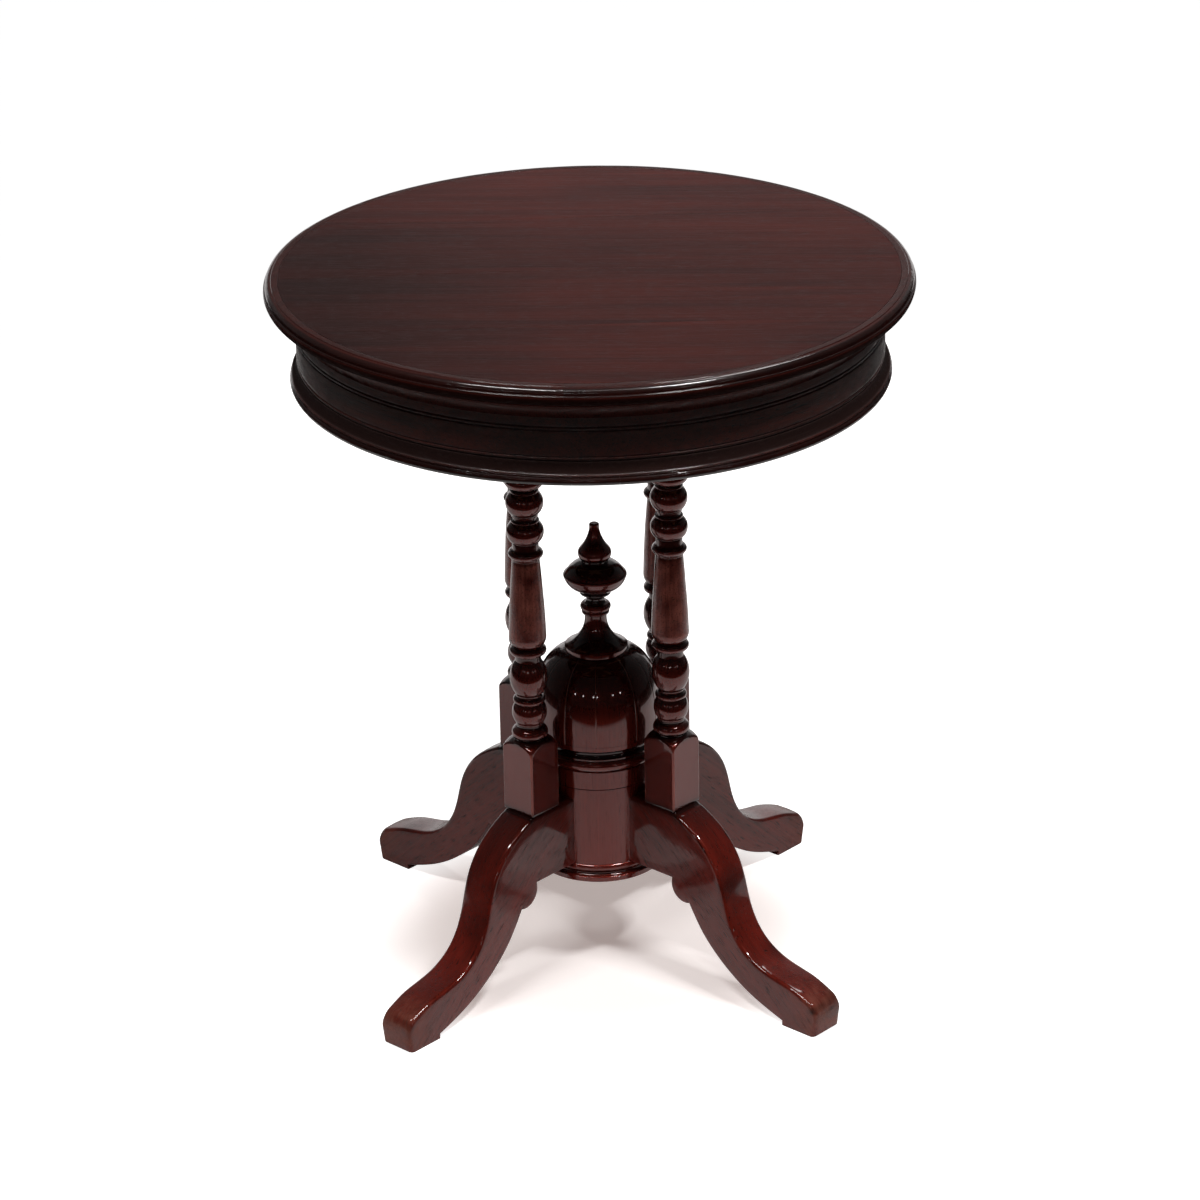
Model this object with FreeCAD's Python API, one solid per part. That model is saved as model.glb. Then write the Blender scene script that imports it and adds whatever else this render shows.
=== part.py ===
import FreeCAD, Part
import math
import os
from FreeCAD import Rotation, Vector

# Round side table in stained hardwood: a boarded round top with a moulded edge and a deep moulded apron,
# four turned columns that stand on four sabre legs, and a central newel with a domed cap and a finial.
# Millimetres, +Z up, +X to the right, -Y to the front. The origin is on the floor under the table's centre.

# Overall
table_height = 708.0
top_radius = 305.0
quadrants = ("back_right", "back_left", "front_left", "front_right")
first_quadrant_azimuth = 45.0
glue_line = 0.1
full_turn = 360.0
quarter_turn = 90.0

# Top boards, glued edge to edge with the grain along X
board_thickness = 20.0
board_count = 4
tongue_depth = 5.0
tongue_thickness = 6.0

# Moulded edge of the top, in four lengths that butt at uneven places
rim_width = 14.0
rim_height = 18.0
rim_joint_azimuths = (-160.0, -97.0, 0.5, 95.0)

# Apron ring in four sawn lengths
apron_overhang = 28.0
apron_thickness = 22.0
apron_height = 73.0
apron_joint_azimuth = -5.0
apron_foot_flare = 5.5
apron_foot_step = 2.5
apron_foot_slope = 9.0
apron_foot_sag_share = 0.25
groove_width = 1.6
groove_depth = 1.3

# Cove moulding between apron and top, and bead moulding under the apron
cove_width = 12.0
cove_height = 18.0
cove_joint_azimuth = 31.0
bead_height = 9.0
bead_overhang = 6.7
bead_joint_azimuth = 2.5

# Crossed bearers under the top, halved where they cross
bearer_width = 60.0
bearer_depth = 42.0
bearer_housing = 10.0
glue_block_side = 24.0
glue_block_angle = 13.0
glue_block_azimuths = (-30.0, -5.0, 20.0)

# Columns: square blocks at both ends and a turned length between them
column_circle_radius = 96.0
column_side = 38.0
column_seat_height = 184.0
lower_block_share = 0.1429
turned_length_share = 0.6591
shoulder_height = 8.0
shoulder_middle_shares = (0.74, 0.78)
upper_tenon_diameter = 22.0
upper_tenon_length = 28.0
lower_tenon_diameter = 20.0
lower_tenon_length = 26.0

# Legs, sawn from stock as thick as the column blocks
leg_reach = 292.5
leg_root_underside = 113.0
leg_foot_pad = 41.0
leg_foot_step = 5.0
leg_tenon_thickness = 12.0
leg_tenon_height = 44.0
leg_tenon_length = 22.0

# Newel with its base cap, dome and finial
newel_radius = 60.0
newel_top = 240.0
base_height = 18.0
base_overhang = 3.0
dome_height = 79.0
dome_overhang = 2.0
finial_height = 131.0
finial_radius = 30.6
spigot_root_share = 0.3
newel_spigot_diameter = 26.0
newel_spigot_length = 28.0
finial_spigot_diameter = 16.0
finial_spigot_length = 28.0

# Steel countersunk screws
screw_diameter = 4.5
screw_head_diameter = 9.0
screw_slot_width = 1.2
screw_slot_depth = 1.4
screw_hole_clearance = 0.3
top_screw_length = 32.0
top_screw_recess = 22.0
top_screw_place_shares = (0.58, 0.88)
base_screw_length = 36.0
base_screw_circle_radius = 42.0

# Section of the moulded edge: share of the width outwards, share of the height upwards.
# Two values end a straight run. Four end an arc, and the last two are a point in its middle.
rim_section_shares = (
    (0.0, 0.0), (0.66, 0.0), (0.74, 0.03),
    (1.0, 0.52, 0.95, 0.24), (0.94, 0.585, 0.985, 0.56),
    (0.90, 0.585), (0.90, 0.65), (0.50, 0.955, 0.785, 0.865),
    (0.46, 1.0), (0.0, 1.0),
)
cove_section_shares = (
    (0.0, 0.0), (0.13, 0.0), (0.80, 0.78, 0.26, 0.49),
    (0.80, 0.80), (1.0, 0.80), (1.0, 1.0), (0.0, 1.0),
)
bead_section_shares = (
    (0.0, 0.0), (0.90, 0.0), (0.955, 0.86, 1.0, 0.42), (0.955, 1.0), (0.0, 1.0),
)
groove_place_shares = (0.176, 0.230, 0.574, 0.622)

# Turned length of a column: share of its height upwards, share of half the column's side outwards
column_turning_shares = (
    (0.0, 0.78), (0.030, 0.78),
    (0.066, 0.74, 0.048, 0.93), (0.067, 0.66), (0.078, 0.66, 0.072, 0.64),
    (0.078, 0.71), (0.083, 0.71), (0.151, 0.70, 0.116, 0.89),
    (0.152, 0.74), (0.170, 0.74, 0.161, 0.81), (0.171, 0.66), (0.182, 0.66, 0.176, 0.64),
    (0.183, 0.69), (0.294, 0.69, 0.239, 0.965),
    (0.295, 0.665), (0.316, 0.665), (0.317, 0.76), (0.345, 0.76, 0.332, 0.945),
    (0.346, 0.74), (0.349, 0.78), (0.382, 0.95, 0.361, 0.90), (0.640, 0.70, 0.503, 0.865),
    (0.641, 0.73), (0.647, 0.73), (0.648, 0.76), (0.672, 0.76, 0.660, 0.89),
    (0.673, 0.675), (0.696, 0.675),
    (0.697, 0.66), (0.768, 0.67, 0.731, 0.955),
    (0.768, 0.72), (0.773, 0.72), (0.773, 0.615), (0.787, 0.615), (0.787, 0.68), (0.793, 0.68),
    (0.868, 0.68, 0.830, 0.955),
    (0.868, 0.73), (0.875, 0.73), (0.875, 0.65), (0.882, 0.65), (0.882, 0.72),
    (0.921, 0.88, 0.903, 1.0), (0.923, 0.71), (0.948, 0.68, 0.935, 0.64),
    (0.949, 0.74), (0.965, 0.74, 0.957, 0.84), (0.966, 0.78), (1.0, 0.78),
)

# Newel: share of its height upwards, share of its radius outwards
newel_turning_shares = (
    (0.0, 1.0), (0.641, 1.0), (0.643, 0.985), (0.646, 0.985), (0.646, 1.025),
    (0.788, 1.025), (0.792, 1.005), (0.872, 1.0, 0.832, 1.045),
    (0.874, 0.985), (0.890, 0.985), (0.890, 0.955), (0.957, 0.985, 0.917, 0.925),
    (0.959, 1.018), (0.965, 1.033), (1.0, 1.033),
)
base_turning_shares = (
    (0.0, 0.97), (0.04, 1.0), (0.30, 1.0), (0.34, 0.985),
    (0.34, 0.955), (0.58, 0.945, 0.46, 0.93), (0.60, 0.95), (1.0, 0.95, 0.80, 0.985),
)
dome_turning_shares = (
    (0.0, 0.995), (0.405, 0.987, 0.190, 1.0), (0.810, 0.815, 0.616, 0.932), (1.0, 0.492, 0.928, 0.676),
)
finial_turning_shares = (
    (0.0, 1.0), (0.033, 1.0), (0.042, 0.94),
    (0.255, 0.35, 0.120, 0.53), (0.280, 0.35),
    (0.283, 0.40), (0.311, 0.41, 0.297, 0.44),
    (0.313, 0.42), (0.368, 0.41, 0.340, 0.485),
    (0.370, 0.34), (0.436, 0.38, 0.400, 0.285),
    (0.438, 0.43), (0.468, 0.47, 0.452, 0.50), (0.474, 0.45), (0.479, 0.48),
    (0.584, 0.993, 0.518, 0.83), (0.605, 0.985, 0.594, 1.003), (0.608, 0.945),
    (0.696, 0.46, 0.667, 0.74), (0.698, 0.43), (0.717, 0.43), (0.718, 0.445),
    (0.808, 0.463, 0.760, 0.529), (0.957, 0.160, 0.862, 0.300),
    (0.985, 0.160), (1.0, 0.10, 0.996, 0.145),
)

# Leg outline: share of the way from the newel to the toe, share of the column seat's height
leg_top_shares = (
    (0.382, 0.897), (0.480, 0.734), (0.527, 0.538), (0.599, 0.375), (0.714, 0.285), (0.871, 0.240),
    (0.966, 0.196),
)
leg_toe_shares = ((1.0, 0.150), (0.992, 0.178))
leg_sole_end_share = 0.996
leg_underside_shares = ((0.654, 0.106), (0.505, 0.223), (0.395, 0.359), (0.323, 0.500))
leg_lobe_width_share = 0.089
leg_lobe_middle_shares = (0.245, 0.525)

# Heights, radii and azimuths that follow from the sizes above
quadrant_azimuths = {
    name: first_quadrant_azimuth + quarter_turn * index for index, name in enumerate(quadrants)
}
boards_radius = top_radius - rim_width
board_underside = table_height - board_thickness
board_width = 2 * boards_radius / board_count
rim_underside = table_height - rim_height
apron_radius = top_radius - apron_overhang
apron_inner_radius = apron_radius - apron_thickness
apron_foot = board_underside - apron_height
bead_foot = apron_foot - bead_height
bead_width = apron_thickness + bead_overhang
cove_foot = board_underside - cove_height
bearer_underside = board_underside - bearer_depth
bearer_end = apron_inner_radius + bearer_housing - glue_line
column_half = column_side / 2
column_length = bearer_underside - column_seat_height
lower_block_height = column_length * lower_block_share
turned_height = column_length * turned_length_share
turned_foot = column_seat_height + lower_block_height
upper_block_height = bearer_underside - turned_foot - turned_height
leg_seat_distance = math.sqrt(newel_radius ** 2 - column_half ** 2)
newel_foot = leg_root_underside
base_foot = newel_foot - base_height
base_radius = newel_radius + base_overhang
dome_radius = newel_radius + dome_overhang
dome_top = newel_top + dome_height
leg_tenon_foot = (leg_root_underside + column_seat_height - leg_tenon_height) / 2
screw_head_height = (screw_head_diameter - screw_diameter) / 2


def contour(rows, place):
    """Edges through rows of shares: two values end a straight run, four end an arc and its middle."""
    edges = []
    here = place(*rows[0])
    for row in rows[1:]:
        there = place(*row[:2])
        if len(row) == 2:
            edges.append(Part.LineSegment(here, there).toShape())
        else:
            edges.append(Part.Arc(here, place(*row[2:]), there).toShape())
        here = there
    return edges


def turned(rows, radius, foot, height):
    """A solid turned about +Z, whose rows give its height share and radius share from foot to top."""
    def place(up, out):
        return Vector(radius * out, 0, foot + height * up)

    start = place(*rows[0])
    end = place(*rows[-1][:2])
    edges = contour(rows, place)
    axis_foot = Vector(0, 0, start.z)
    axis_head = Vector(0, 0, end.z)
    edges.append(Part.LineSegment(end, axis_head).toShape())
    edges.append(Part.LineSegment(axis_head, axis_foot).toShape())
    edges.append(Part.LineSegment(axis_foot, start).toShape())
    face = Part.Face(Part.Wire(edges))
    return face.revolve(Vector(), Vector(0, 0, 1), full_turn)


def swept_ring(face, first, last):
    """A radial section face swept about +Z from one azimuth to the next."""
    solid = face.revolve(Vector(), Vector(0, 0, 1), last - first)
    solid.rotate(Vector(), Vector(0, 0, 1), first)
    return solid


def section(rows, inner, width, foot, height):
    """A closed section face, whose rows give shares of its width and height."""
    def place(out, up):
        return Vector(inner + width * out, 0, foot + height * up)

    edges = contour(rows, place)
    edges.append(Part.LineSegment(place(*rows[-1][:2]), place(*rows[0])).toShape())
    return Part.Face(Part.Wire(edges))


def flat_ring(inner, outer, foot, height):
    """A plain ring, or a disc where the inner radius is zero."""
    ring = Part.makeCylinder(outer, height, Vector(0, 0, foot))
    if inner > 0:
        ring = ring.cut(Part.makeCylinder(inner, height, Vector(0, 0, foot)))
    return ring


def centred_box(length, width, height, foot, middle=0.0):
    """A box with its length along X about a middle, its width about Y and its foot at a height."""
    return Part.makeBox(length, width, height, Vector(middle - length / 2, -width / 2, foot))


def turned_to(shape, azimuth):
    """A copy turned about +Z by an azimuth."""
    copy = shape.copy()
    copy.rotate(Vector(), Vector(0, 0, 1), azimuth)
    return copy


def at_radius(shape, radius):
    """A copy moved out along +X."""
    copy = shape.copy()
    copy.translate(Vector(radius, 0, 0))
    return copy


def spans(azimuths):
    """Pairs of neighbouring azimuths once round the table."""
    return list(zip(azimuths, azimuths[1:] + (azimuths[0] + full_turn,)))


def quarter_spans(azimuth):
    """Four equal spans that start at an azimuth."""
    return spans(tuple(azimuth + quarter_turn * index for index in range(len(quadrants))))


def save(name, shape):
    """Write one node."""
    shape.exportStep("parts/" + name + ".step")


def screw(length, grow=0.0):
    """A countersunk screw with its head at the foot and its tip up, or its hole when it is grown."""
    shank = (screw_diameter + grow) / 2
    head = (screw_head_diameter + grow) / 2
    points = [
        Vector(0, 0, 0), Vector(head, 0, 0), Vector(shank, 0, screw_head_height),
        Vector(shank, 0, length - screw_diameter / 2 + grow), Vector(0, 0, length + grow), Vector(0, 0, 0),
    ]
    return Part.Face(Part.makePolygon(points)).revolve(Vector(), Vector(0, 0, 1), full_turn)


def slotted_screw(length):
    """A screw with the slot in its head."""
    slot = centred_box(screw_head_diameter, screw_slot_width, screw_slot_depth, 0)
    return screw(length).cut(slot)


def top_screw_stations():
    """Distance along a bearer and height of each screw into the top, on both arms."""
    height = bearer_underside + top_screw_recess
    distances = [side * share * apron_inner_radius for side in (-1, 1) for share in top_screw_place_shares]
    return [(distance, height) for distance in distances]


def make_top_boards():
    """The round field of the top, cut into boards, with a tongue round its edge."""
    middle = table_height - board_thickness / 2
    disc = flat_ring(0, boards_radius, board_underside, board_thickness)
    tongue_foot = middle - tongue_thickness / 2
    tongue = flat_ring(0, boards_radius + tongue_depth, tongue_foot, tongue_thickness)
    disc = disc.fuse(tongue).removeSplitter()
    for azimuth in (quadrant_azimuths["back_right"], quadrant_azimuths["back_left"]):
        for distance, height in top_screw_stations():
            hole = at_radius(screw(top_screw_length, screw_hole_clearance), distance)
            hole.translate(Vector(0, 0, height))
            disc = disc.cut(turned_to(hole, azimuth))
    reach = 2 * (boards_radius + tongue_depth)
    for index in range(board_count):
        near = -boards_radius + board_width * index
        far = near + board_width
        if index == 0:
            near -= tongue_depth
        if index == board_count - 1:
            far += tongue_depth
        strip = Part.makeBox(reach, far - near, board_thickness, Vector(-reach / 2, near, board_underside))
        save("top_board_%d" % (index + 1), disc.common(strip))


def make_rim_moulding():
    """The moulded edge, grooved for the boards' tongue."""
    inner = boards_radius + glue_line
    face = section(rim_section_shares, inner, top_radius - inner, rim_underside, rim_height)
    groove_height = tongue_thickness + 2 * glue_line
    groove_foot = table_height - board_thickness / 2 - groove_height / 2
    groove = flat_ring(0, boards_radius + tongue_depth + glue_line, groove_foot, groove_height)
    for index, (first, last) in enumerate(spans(rim_joint_azimuths)):
        save("rim_moulding_%d" % (index + 1), swept_ring(face, first, last).cut(groove))


def apron_face():
    """Section of the apron with its flared foot and its scratched grooves."""
    flare = apron_radius + apron_foot_flare
    step_top = apron_foot + apron_foot_step
    slope_top = step_top + apron_foot_slope
    sag = apron_foot_flare * apron_foot_sag_share
    curve_middle = Vector((flare + apron_radius) / 2 - sag, 0, (step_top + slope_top) / 2)
    points = [
        Vector(apron_radius, 0, slope_top), Vector(apron_radius, 0, board_underside),
        Vector(apron_inner_radius, 0, board_underside), Vector(apron_inner_radius, 0, apron_foot),
        Vector(flare, 0, apron_foot), Vector(flare, 0, step_top),
    ]
    edges = [Part.LineSegment(a, b).toShape() for a, b in zip(points, points[1:])]
    edges.append(Part.Arc(points[-1], curve_middle, points[0]).toShape())
    return Part.Face(Part.Wire(edges))


def make_apron():
    """The four lengths of the apron, housed at the top for the bearers."""
    housing = centred_box(2 * (bearer_end + glue_line), bearer_width + 2 * glue_line, bearer_depth,
                          bearer_underside)
    cuts = [turned_to(housing, quadrant_azimuths[name]) for name in ("back_right", "back_left")]
    for share in groove_place_shares:
        foot = apron_foot + apron_height * share - groove_width / 2
        cuts.append(flat_ring(apron_radius - groove_depth, apron_radius + groove_width, foot, groove_width))
    face = apron_face()
    for index, (first, last) in enumerate(quarter_spans(apron_joint_azimuth)):
        piece = swept_ring(face, first, last)
        for cut in cuts:
            piece = piece.cut(cut)
        save("apron_segment_%d" % (index + 1), piece)


def make_apron_mouldings():
    """The cove moulding under the top and the bead moulding under the apron."""
    cove_inner = apron_radius + glue_line
    cove = section(cove_section_shares, cove_inner, cove_width, cove_foot, cove_height)
    for index, (first, last) in enumerate(quarter_spans(cove_joint_azimuth)):
        save("cove_moulding_%d" % (index + 1), swept_ring(cove, first, last))
    bead = section(bead_section_shares, apron_inner_radius, bead_width, bead_foot, bead_height)
    for index, (first, last) in enumerate(quarter_spans(bead_joint_azimuth)):
        save("bead_moulding_%d" % (index + 1), swept_ring(bead, first, last))


def make_glue_blocks():
    """Corner blocks rubbed in between the apron and the top."""
    outer = apron_inner_radius - glue_line
    foot = board_underside - glue_block_side
    corner = [
        Vector(outer, 0, foot), Vector(outer, 0, board_underside),
        Vector(outer - glue_block_side, 0, board_underside), Vector(outer, 0, foot),
    ]
    face = Part.Face(Part.makePolygon(corner))
    blocks = []
    for first, _ in quarter_spans(0.0):
        for azimuth in glue_block_azimuths:
            start = first + azimuth - glue_block_angle / 2
            blocks.append(swept_ring(face, start, start + glue_block_angle))
    save("apron_glue_blocks", Part.makeCompound(blocks))


def make_bearers():
    """The two bearers, halved at the crossing and bored for column tenons and screws."""
    half_depth = bearer_depth / 2
    lap = bearer_width + 2 * glue_line
    for name, quadrant, lap_foot in (
        ("bearer_lower", "back_right", bearer_underside + half_depth),
        ("bearer_upper", "back_left", bearer_underside),
    ):
        bar = centred_box(2 * bearer_end, bearer_width, bearer_depth, bearer_underside)
        bar = bar.cut(centred_box(lap, bearer_width, half_depth, lap_foot))
        for side in (-1, 1):
            socket = Part.makeCylinder(upper_tenon_diameter / 2 + glue_line, upper_tenon_length + glue_line,
                                       Vector(side * column_circle_radius, 0, bearer_underside))
            bar = bar.cut(socket)
        for distance, height in top_screw_stations():
            hole = at_radius(screw(top_screw_length, screw_hole_clearance), distance)
            hole.translate(Vector(0, 0, height))
            bore = Part.makeCylinder(screw_head_diameter / 2 + screw_hole_clearance, top_screw_recess,
                                     Vector(distance, 0, bearer_underside))
            bar = bar.cut(hole).cut(bore)
        save(name, turned_to(bar, quadrant_azimuths[quadrant]))


def make_top_screws():
    """The screws that hold the top down on the bearers."""
    screws = []
    for azimuth in (quadrant_azimuths["back_right"], quadrant_azimuths["back_left"]):
        for distance, height in top_screw_stations():
            placed = at_radius(slotted_screw(top_screw_length), distance)
            placed.translate(Vector(0, 0, height))
            screws.append(turned_to(placed, azimuth))
    save("top_screws", Part.makeCompound(screws))


def shouldered_block(foot, height):
    """A square block whose upper arrises are turned off in a round shoulder."""
    corner = math.hypot(column_half, column_half)
    neck = column_half * column_turning_shares[0][1]
    middle_up, middle_out = shoulder_middle_shares
    head = height + shoulder_height
    lathe_rows = (
        (0.0, 1.0), (height / head, 1.0),
        (1.0, neck / corner, (height + shoulder_height * middle_up) / head, middle_out),
    )
    lathe = turned(lathe_rows, corner, foot, head)
    return centred_box(column_side, column_side, head, foot).common(lathe)


def make_columns():
    """The four columns, each with a tenon at both ends."""
    lower = shouldered_block(column_seat_height, lower_block_height)
    upper = shouldered_block(0, upper_block_height)
    upper.rotate(Vector(), Vector(1, 0, 0), full_turn / 2)
    upper.translate(Vector(0, 0, bearer_underside))
    shaft = turned(column_turning_shares, column_half, turned_foot, turned_height)
    foot_tenon = Part.makeCylinder(lower_tenon_diameter / 2, lower_tenon_length + lower_block_height,
                                   Vector(0, 0, column_seat_height - lower_tenon_length))
    head_tenon = Part.makeCylinder(upper_tenon_diameter / 2, upper_tenon_length + upper_block_height,
                                   Vector(0, 0, bearer_underside - upper_block_height))
    column = lower.fuse([shaft, upper, foot_tenon, head_tenon]).removeSplitter()
    for quadrant, azimuth in quadrant_azimuths.items():
        save("column_" + quadrant, turned_to(at_radius(column, column_circle_radius), azimuth))


def leg_outline():
    """Outline of a leg in the plane of its radius, from the newel seat round to the foot and back."""
    def place(out, up):
        distance = leg_seat_distance + (leg_reach - leg_seat_distance) * out
        return Vector(distance, 0, column_seat_height * up)

    block_face = Vector(column_circle_radius + column_half, 0, column_seat_height)
    root_head = Vector(leg_seat_distance, 0, column_seat_height)
    root_foot = Vector(leg_seat_distance, 0, leg_root_underside)
    top_points = [block_face] + [place(*row) for row in leg_top_shares]
    toe_end, toe_middle = [place(*row) for row in leg_toe_shares]
    sole_end = place(leg_sole_end_share, 0)
    heel = Vector(sole_end.x - leg_foot_pad, 0, 0)
    heel_step = Vector(heel.x, 0, leg_foot_step)
    underside_points = [heel_step] + [place(*row) for row in leg_underside_shares]
    lobe_middle = place(*leg_lobe_middle_shares)
    lobe_end = place(leg_underside_shares[-1][0] - leg_lobe_width_share, 0)
    lobe_end.z = leg_root_underside
    upper_curve = Part.BSplineCurve()
    upper_curve.interpolate(top_points)
    lower_curve = Part.BSplineCurve()
    lower_curve.interpolate(underside_points)
    return Part.Wire([
        Part.LineSegment(root_head, block_face).toShape(),
        upper_curve.toShape(),
        Part.Arc(top_points[-1], toe_middle, toe_end).toShape(),
        Part.LineSegment(toe_end, sole_end).toShape(),
        Part.LineSegment(sole_end, heel).toShape(),
        Part.LineSegment(heel, heel_step).toShape(),
        lower_curve.toShape(),
        Part.Arc(underside_points[-1], lobe_middle, lobe_end).toShape(),
        Part.LineSegment(lobe_end, root_foot).toShape(),
        Part.LineSegment(root_foot, root_head).toShape(),
    ])


def make_legs():
    """The four legs, tenoned into the newel and bored for the columns."""
    face = Part.Face(leg_outline())
    face.translate(Vector(0, -column_half, 0))
    leg = face.extrude(Vector(0, column_side, 0))
    tenon_overlap = leg_tenon_thickness
    tenon = Part.makeBox(leg_tenon_length + tenon_overlap, leg_tenon_thickness, leg_tenon_height,
                         Vector(leg_seat_distance - leg_tenon_length, -leg_tenon_thickness / 2,
                                leg_tenon_foot))
    socket = Part.makeCylinder(lower_tenon_diameter / 2 + glue_line, lower_tenon_length + glue_line,
                               Vector(column_circle_radius, 0,
                                      column_seat_height - lower_tenon_length - glue_line))
    leg = leg.fuse(tenon).removeSplitter().cut(socket)
    for quadrant, azimuth in quadrant_azimuths.items():
        save("leg_" + quadrant, turned_to(leg, azimuth))


def base_screw_holes(grow):
    """The screws that hold the base cap, or their holes when they are grown."""
    holes = []
    for azimuth, _ in quarter_spans(0.0):
        placed = at_radius(screw(base_screw_length, grow), base_screw_circle_radius)
        placed.translate(Vector(0, 0, base_foot))
        holes.append(turned_to(placed, azimuth))
    return holes


def make_newel():
    """The newel, mortised for the legs and bored at both ends for the spigots of its caps."""
    newel = turned(newel_turning_shares, newel_radius, newel_foot, newel_top - newel_foot)
    seat_height = column_seat_height - newel_foot
    flat = Part.makeBox(newel_radius, column_side, seat_height,
                        Vector(leg_seat_distance, -column_half, newel_foot))
    mortise_depth = leg_tenon_length + glue_line
    mortise_width = leg_tenon_thickness + 2 * glue_line
    mortise_height = leg_tenon_height + 2 * glue_line
    mortise = Part.makeBox(mortise_depth, mortise_width, mortise_height,
                           Vector(leg_seat_distance - mortise_depth, -mortise_width / 2,
                                  leg_tenon_foot - glue_line))
    for azimuth in quadrant_azimuths.values():
        newel = newel.cut(turned_to(flat, azimuth)).cut(turned_to(mortise, azimuth))
    bore_radius = newel_spigot_diameter / 2 + glue_line
    bore_depth = newel_spigot_length + glue_line
    newel = newel.cut(Part.makeCylinder(bore_radius, bore_depth, Vector(0, 0, newel_foot)))
    newel = newel.cut(Part.makeCylinder(bore_radius, bore_depth, Vector(0, 0, newel_top - bore_depth)))
    for hole in base_screw_holes(screw_hole_clearance):
        newel = newel.cut(hole)
    save("newel", newel)


def make_newel_base():
    """The moulded cap under the newel, with its spigot, and the screws through it."""
    base = turned(base_turning_shares, base_radius, base_foot, base_height)
    spigot = Part.makeCylinder(newel_spigot_diameter / 2, newel_spigot_length + base_height,
                               Vector(0, 0, base_foot))
    base = base.fuse(spigot).removeSplitter()
    for hole in base_screw_holes(screw_hole_clearance):
        base = base.cut(hole)
    save("newel_base", base)
    screws = []
    for azimuth, _ in quarter_spans(0.0):
        placed = at_radius(slotted_screw(base_screw_length), base_screw_circle_radius)
        placed.translate(Vector(0, 0, base_foot))
        screws.append(turned_to(placed, azimuth))
    save("newel_base_screws", Part.makeCompound(screws))


def make_dome():
    """The bell-shaped dome on the newel, with a spigot below and a bore for the finial above."""
    dome = turned(dome_turning_shares, dome_radius, newel_top, dome_height)
    spigot = Part.makeCylinder(newel_spigot_diameter / 2,
                               newel_spigot_length + dome_height * spigot_root_share,
                               Vector(0, 0, newel_top - newel_spigot_length))
    bore_depth = finial_spigot_length + glue_line
    bore = Part.makeCylinder(finial_spigot_diameter / 2 + glue_line, bore_depth,
                             Vector(0, 0, dome_top - bore_depth))
    save("newel_dome", dome.fuse(spigot).removeSplitter().cut(bore))


def make_finial():
    """The turned finial with its spigot."""
    finial = turned(finial_turning_shares, finial_radius, dome_top, finial_height)
    spigot = Part.makeCylinder(finial_spigot_diameter / 2,
                               finial_spigot_length + finial_radius * spigot_root_share,
                               Vector(0, 0, dome_top - finial_spigot_length))
    save("finial", finial.fuse(spigot).removeSplitter())


os.makedirs("parts", exist_ok=True)
make_top_boards()
make_rim_moulding()
make_apron()
make_apron_mouldings()
make_glue_blocks()
make_bearers()
make_top_screws()
make_columns()
make_legs()
make_newel()
make_newel_base()
make_dome()
make_finial()
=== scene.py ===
import math
import bmesh
import bpy
import numpy as np
from mathutils import Matrix, Vector, noise


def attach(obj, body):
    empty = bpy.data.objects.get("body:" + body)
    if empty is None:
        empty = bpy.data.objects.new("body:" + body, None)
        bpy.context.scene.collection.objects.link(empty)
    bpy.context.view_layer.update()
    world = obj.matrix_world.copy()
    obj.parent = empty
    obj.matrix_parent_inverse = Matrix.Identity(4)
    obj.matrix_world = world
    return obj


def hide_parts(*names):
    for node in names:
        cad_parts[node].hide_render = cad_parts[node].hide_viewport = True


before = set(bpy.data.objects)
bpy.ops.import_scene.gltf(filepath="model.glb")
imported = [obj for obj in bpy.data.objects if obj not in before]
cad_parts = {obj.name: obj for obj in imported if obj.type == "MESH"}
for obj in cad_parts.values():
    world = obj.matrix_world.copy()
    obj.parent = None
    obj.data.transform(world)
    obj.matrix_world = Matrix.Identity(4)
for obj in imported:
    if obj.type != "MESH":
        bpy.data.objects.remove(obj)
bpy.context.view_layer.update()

# Round side table in mahogany-stained hardwood. Shapes are written in millimetres, with +Z up, -Y to the
# front and the origin on the floor under the table's centre, and turned to metres when a mesh is made.
mm = 0.001

# Heights and radii, the same as the solids'
table_height = 708.0
boards_radius = 291.0
board_underside = 688.0
rim_width = 13.9
rim_underside = 690.0
rim_height = 18.0
apron_radius = 277.0
apron_inner_radius = 255.0
apron_foot = 615.0
apron_height = 73.0
cove_width = 12.0
cove_foot = 670.0
cove_height = 18.0
bead_foot = 606.0
bead_height = 9.0
bead_width = 28.7
column_circle_radius = 96.0
column_half = 19.0
column_foot = 184.0
turned_foot = 250.02
turned_height = 304.5
column_head = 646.0
leg_seat_distance = 56.91
leg_reach = 292.5
leg_root_underside = 113.0
leg_foot_pad = 41.0
leg_foot_step = 5.0
newel_radius = 60.0
newel_top = 240.0
base_radius = 63.0
base_foot = 95.0
dome_radius = 62.0
dome_height = 79.0
finial_radius = 30.6
finial_height = 131.0

# Small sizes
glue_line = 0.1
board_count = 4
board_joint_gap = 0.015
board_arris = 0.12
outer_board_cut = 0.8
moulding_arris = 0.35
cove_arris = 0.3
apron_arris = 0.5
groove_depth = 1.3
groove_half_mouth = 0.8
groove_half_floor = 0.55
column_arris = 1.7
column_end_half = 18.6
column_end_arris_half = 18.85
column_foot_arris_top = 184.3
column_head_arris_foot = 645.7
leg_upper_arris = 4.2
leg_lower_arris = 1.0
leg_crown = 0.7
toe_arris = 6.5
toe_top = 26.0
dip_depth = 1.3
axis_hole = 0.4

# Steps and gaps round a ring, in degrees
ring_step = 0.45
ring_end_step = 0.05
ring_joint_gap = 0.012
apron_joint_gap = 0.002

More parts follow.
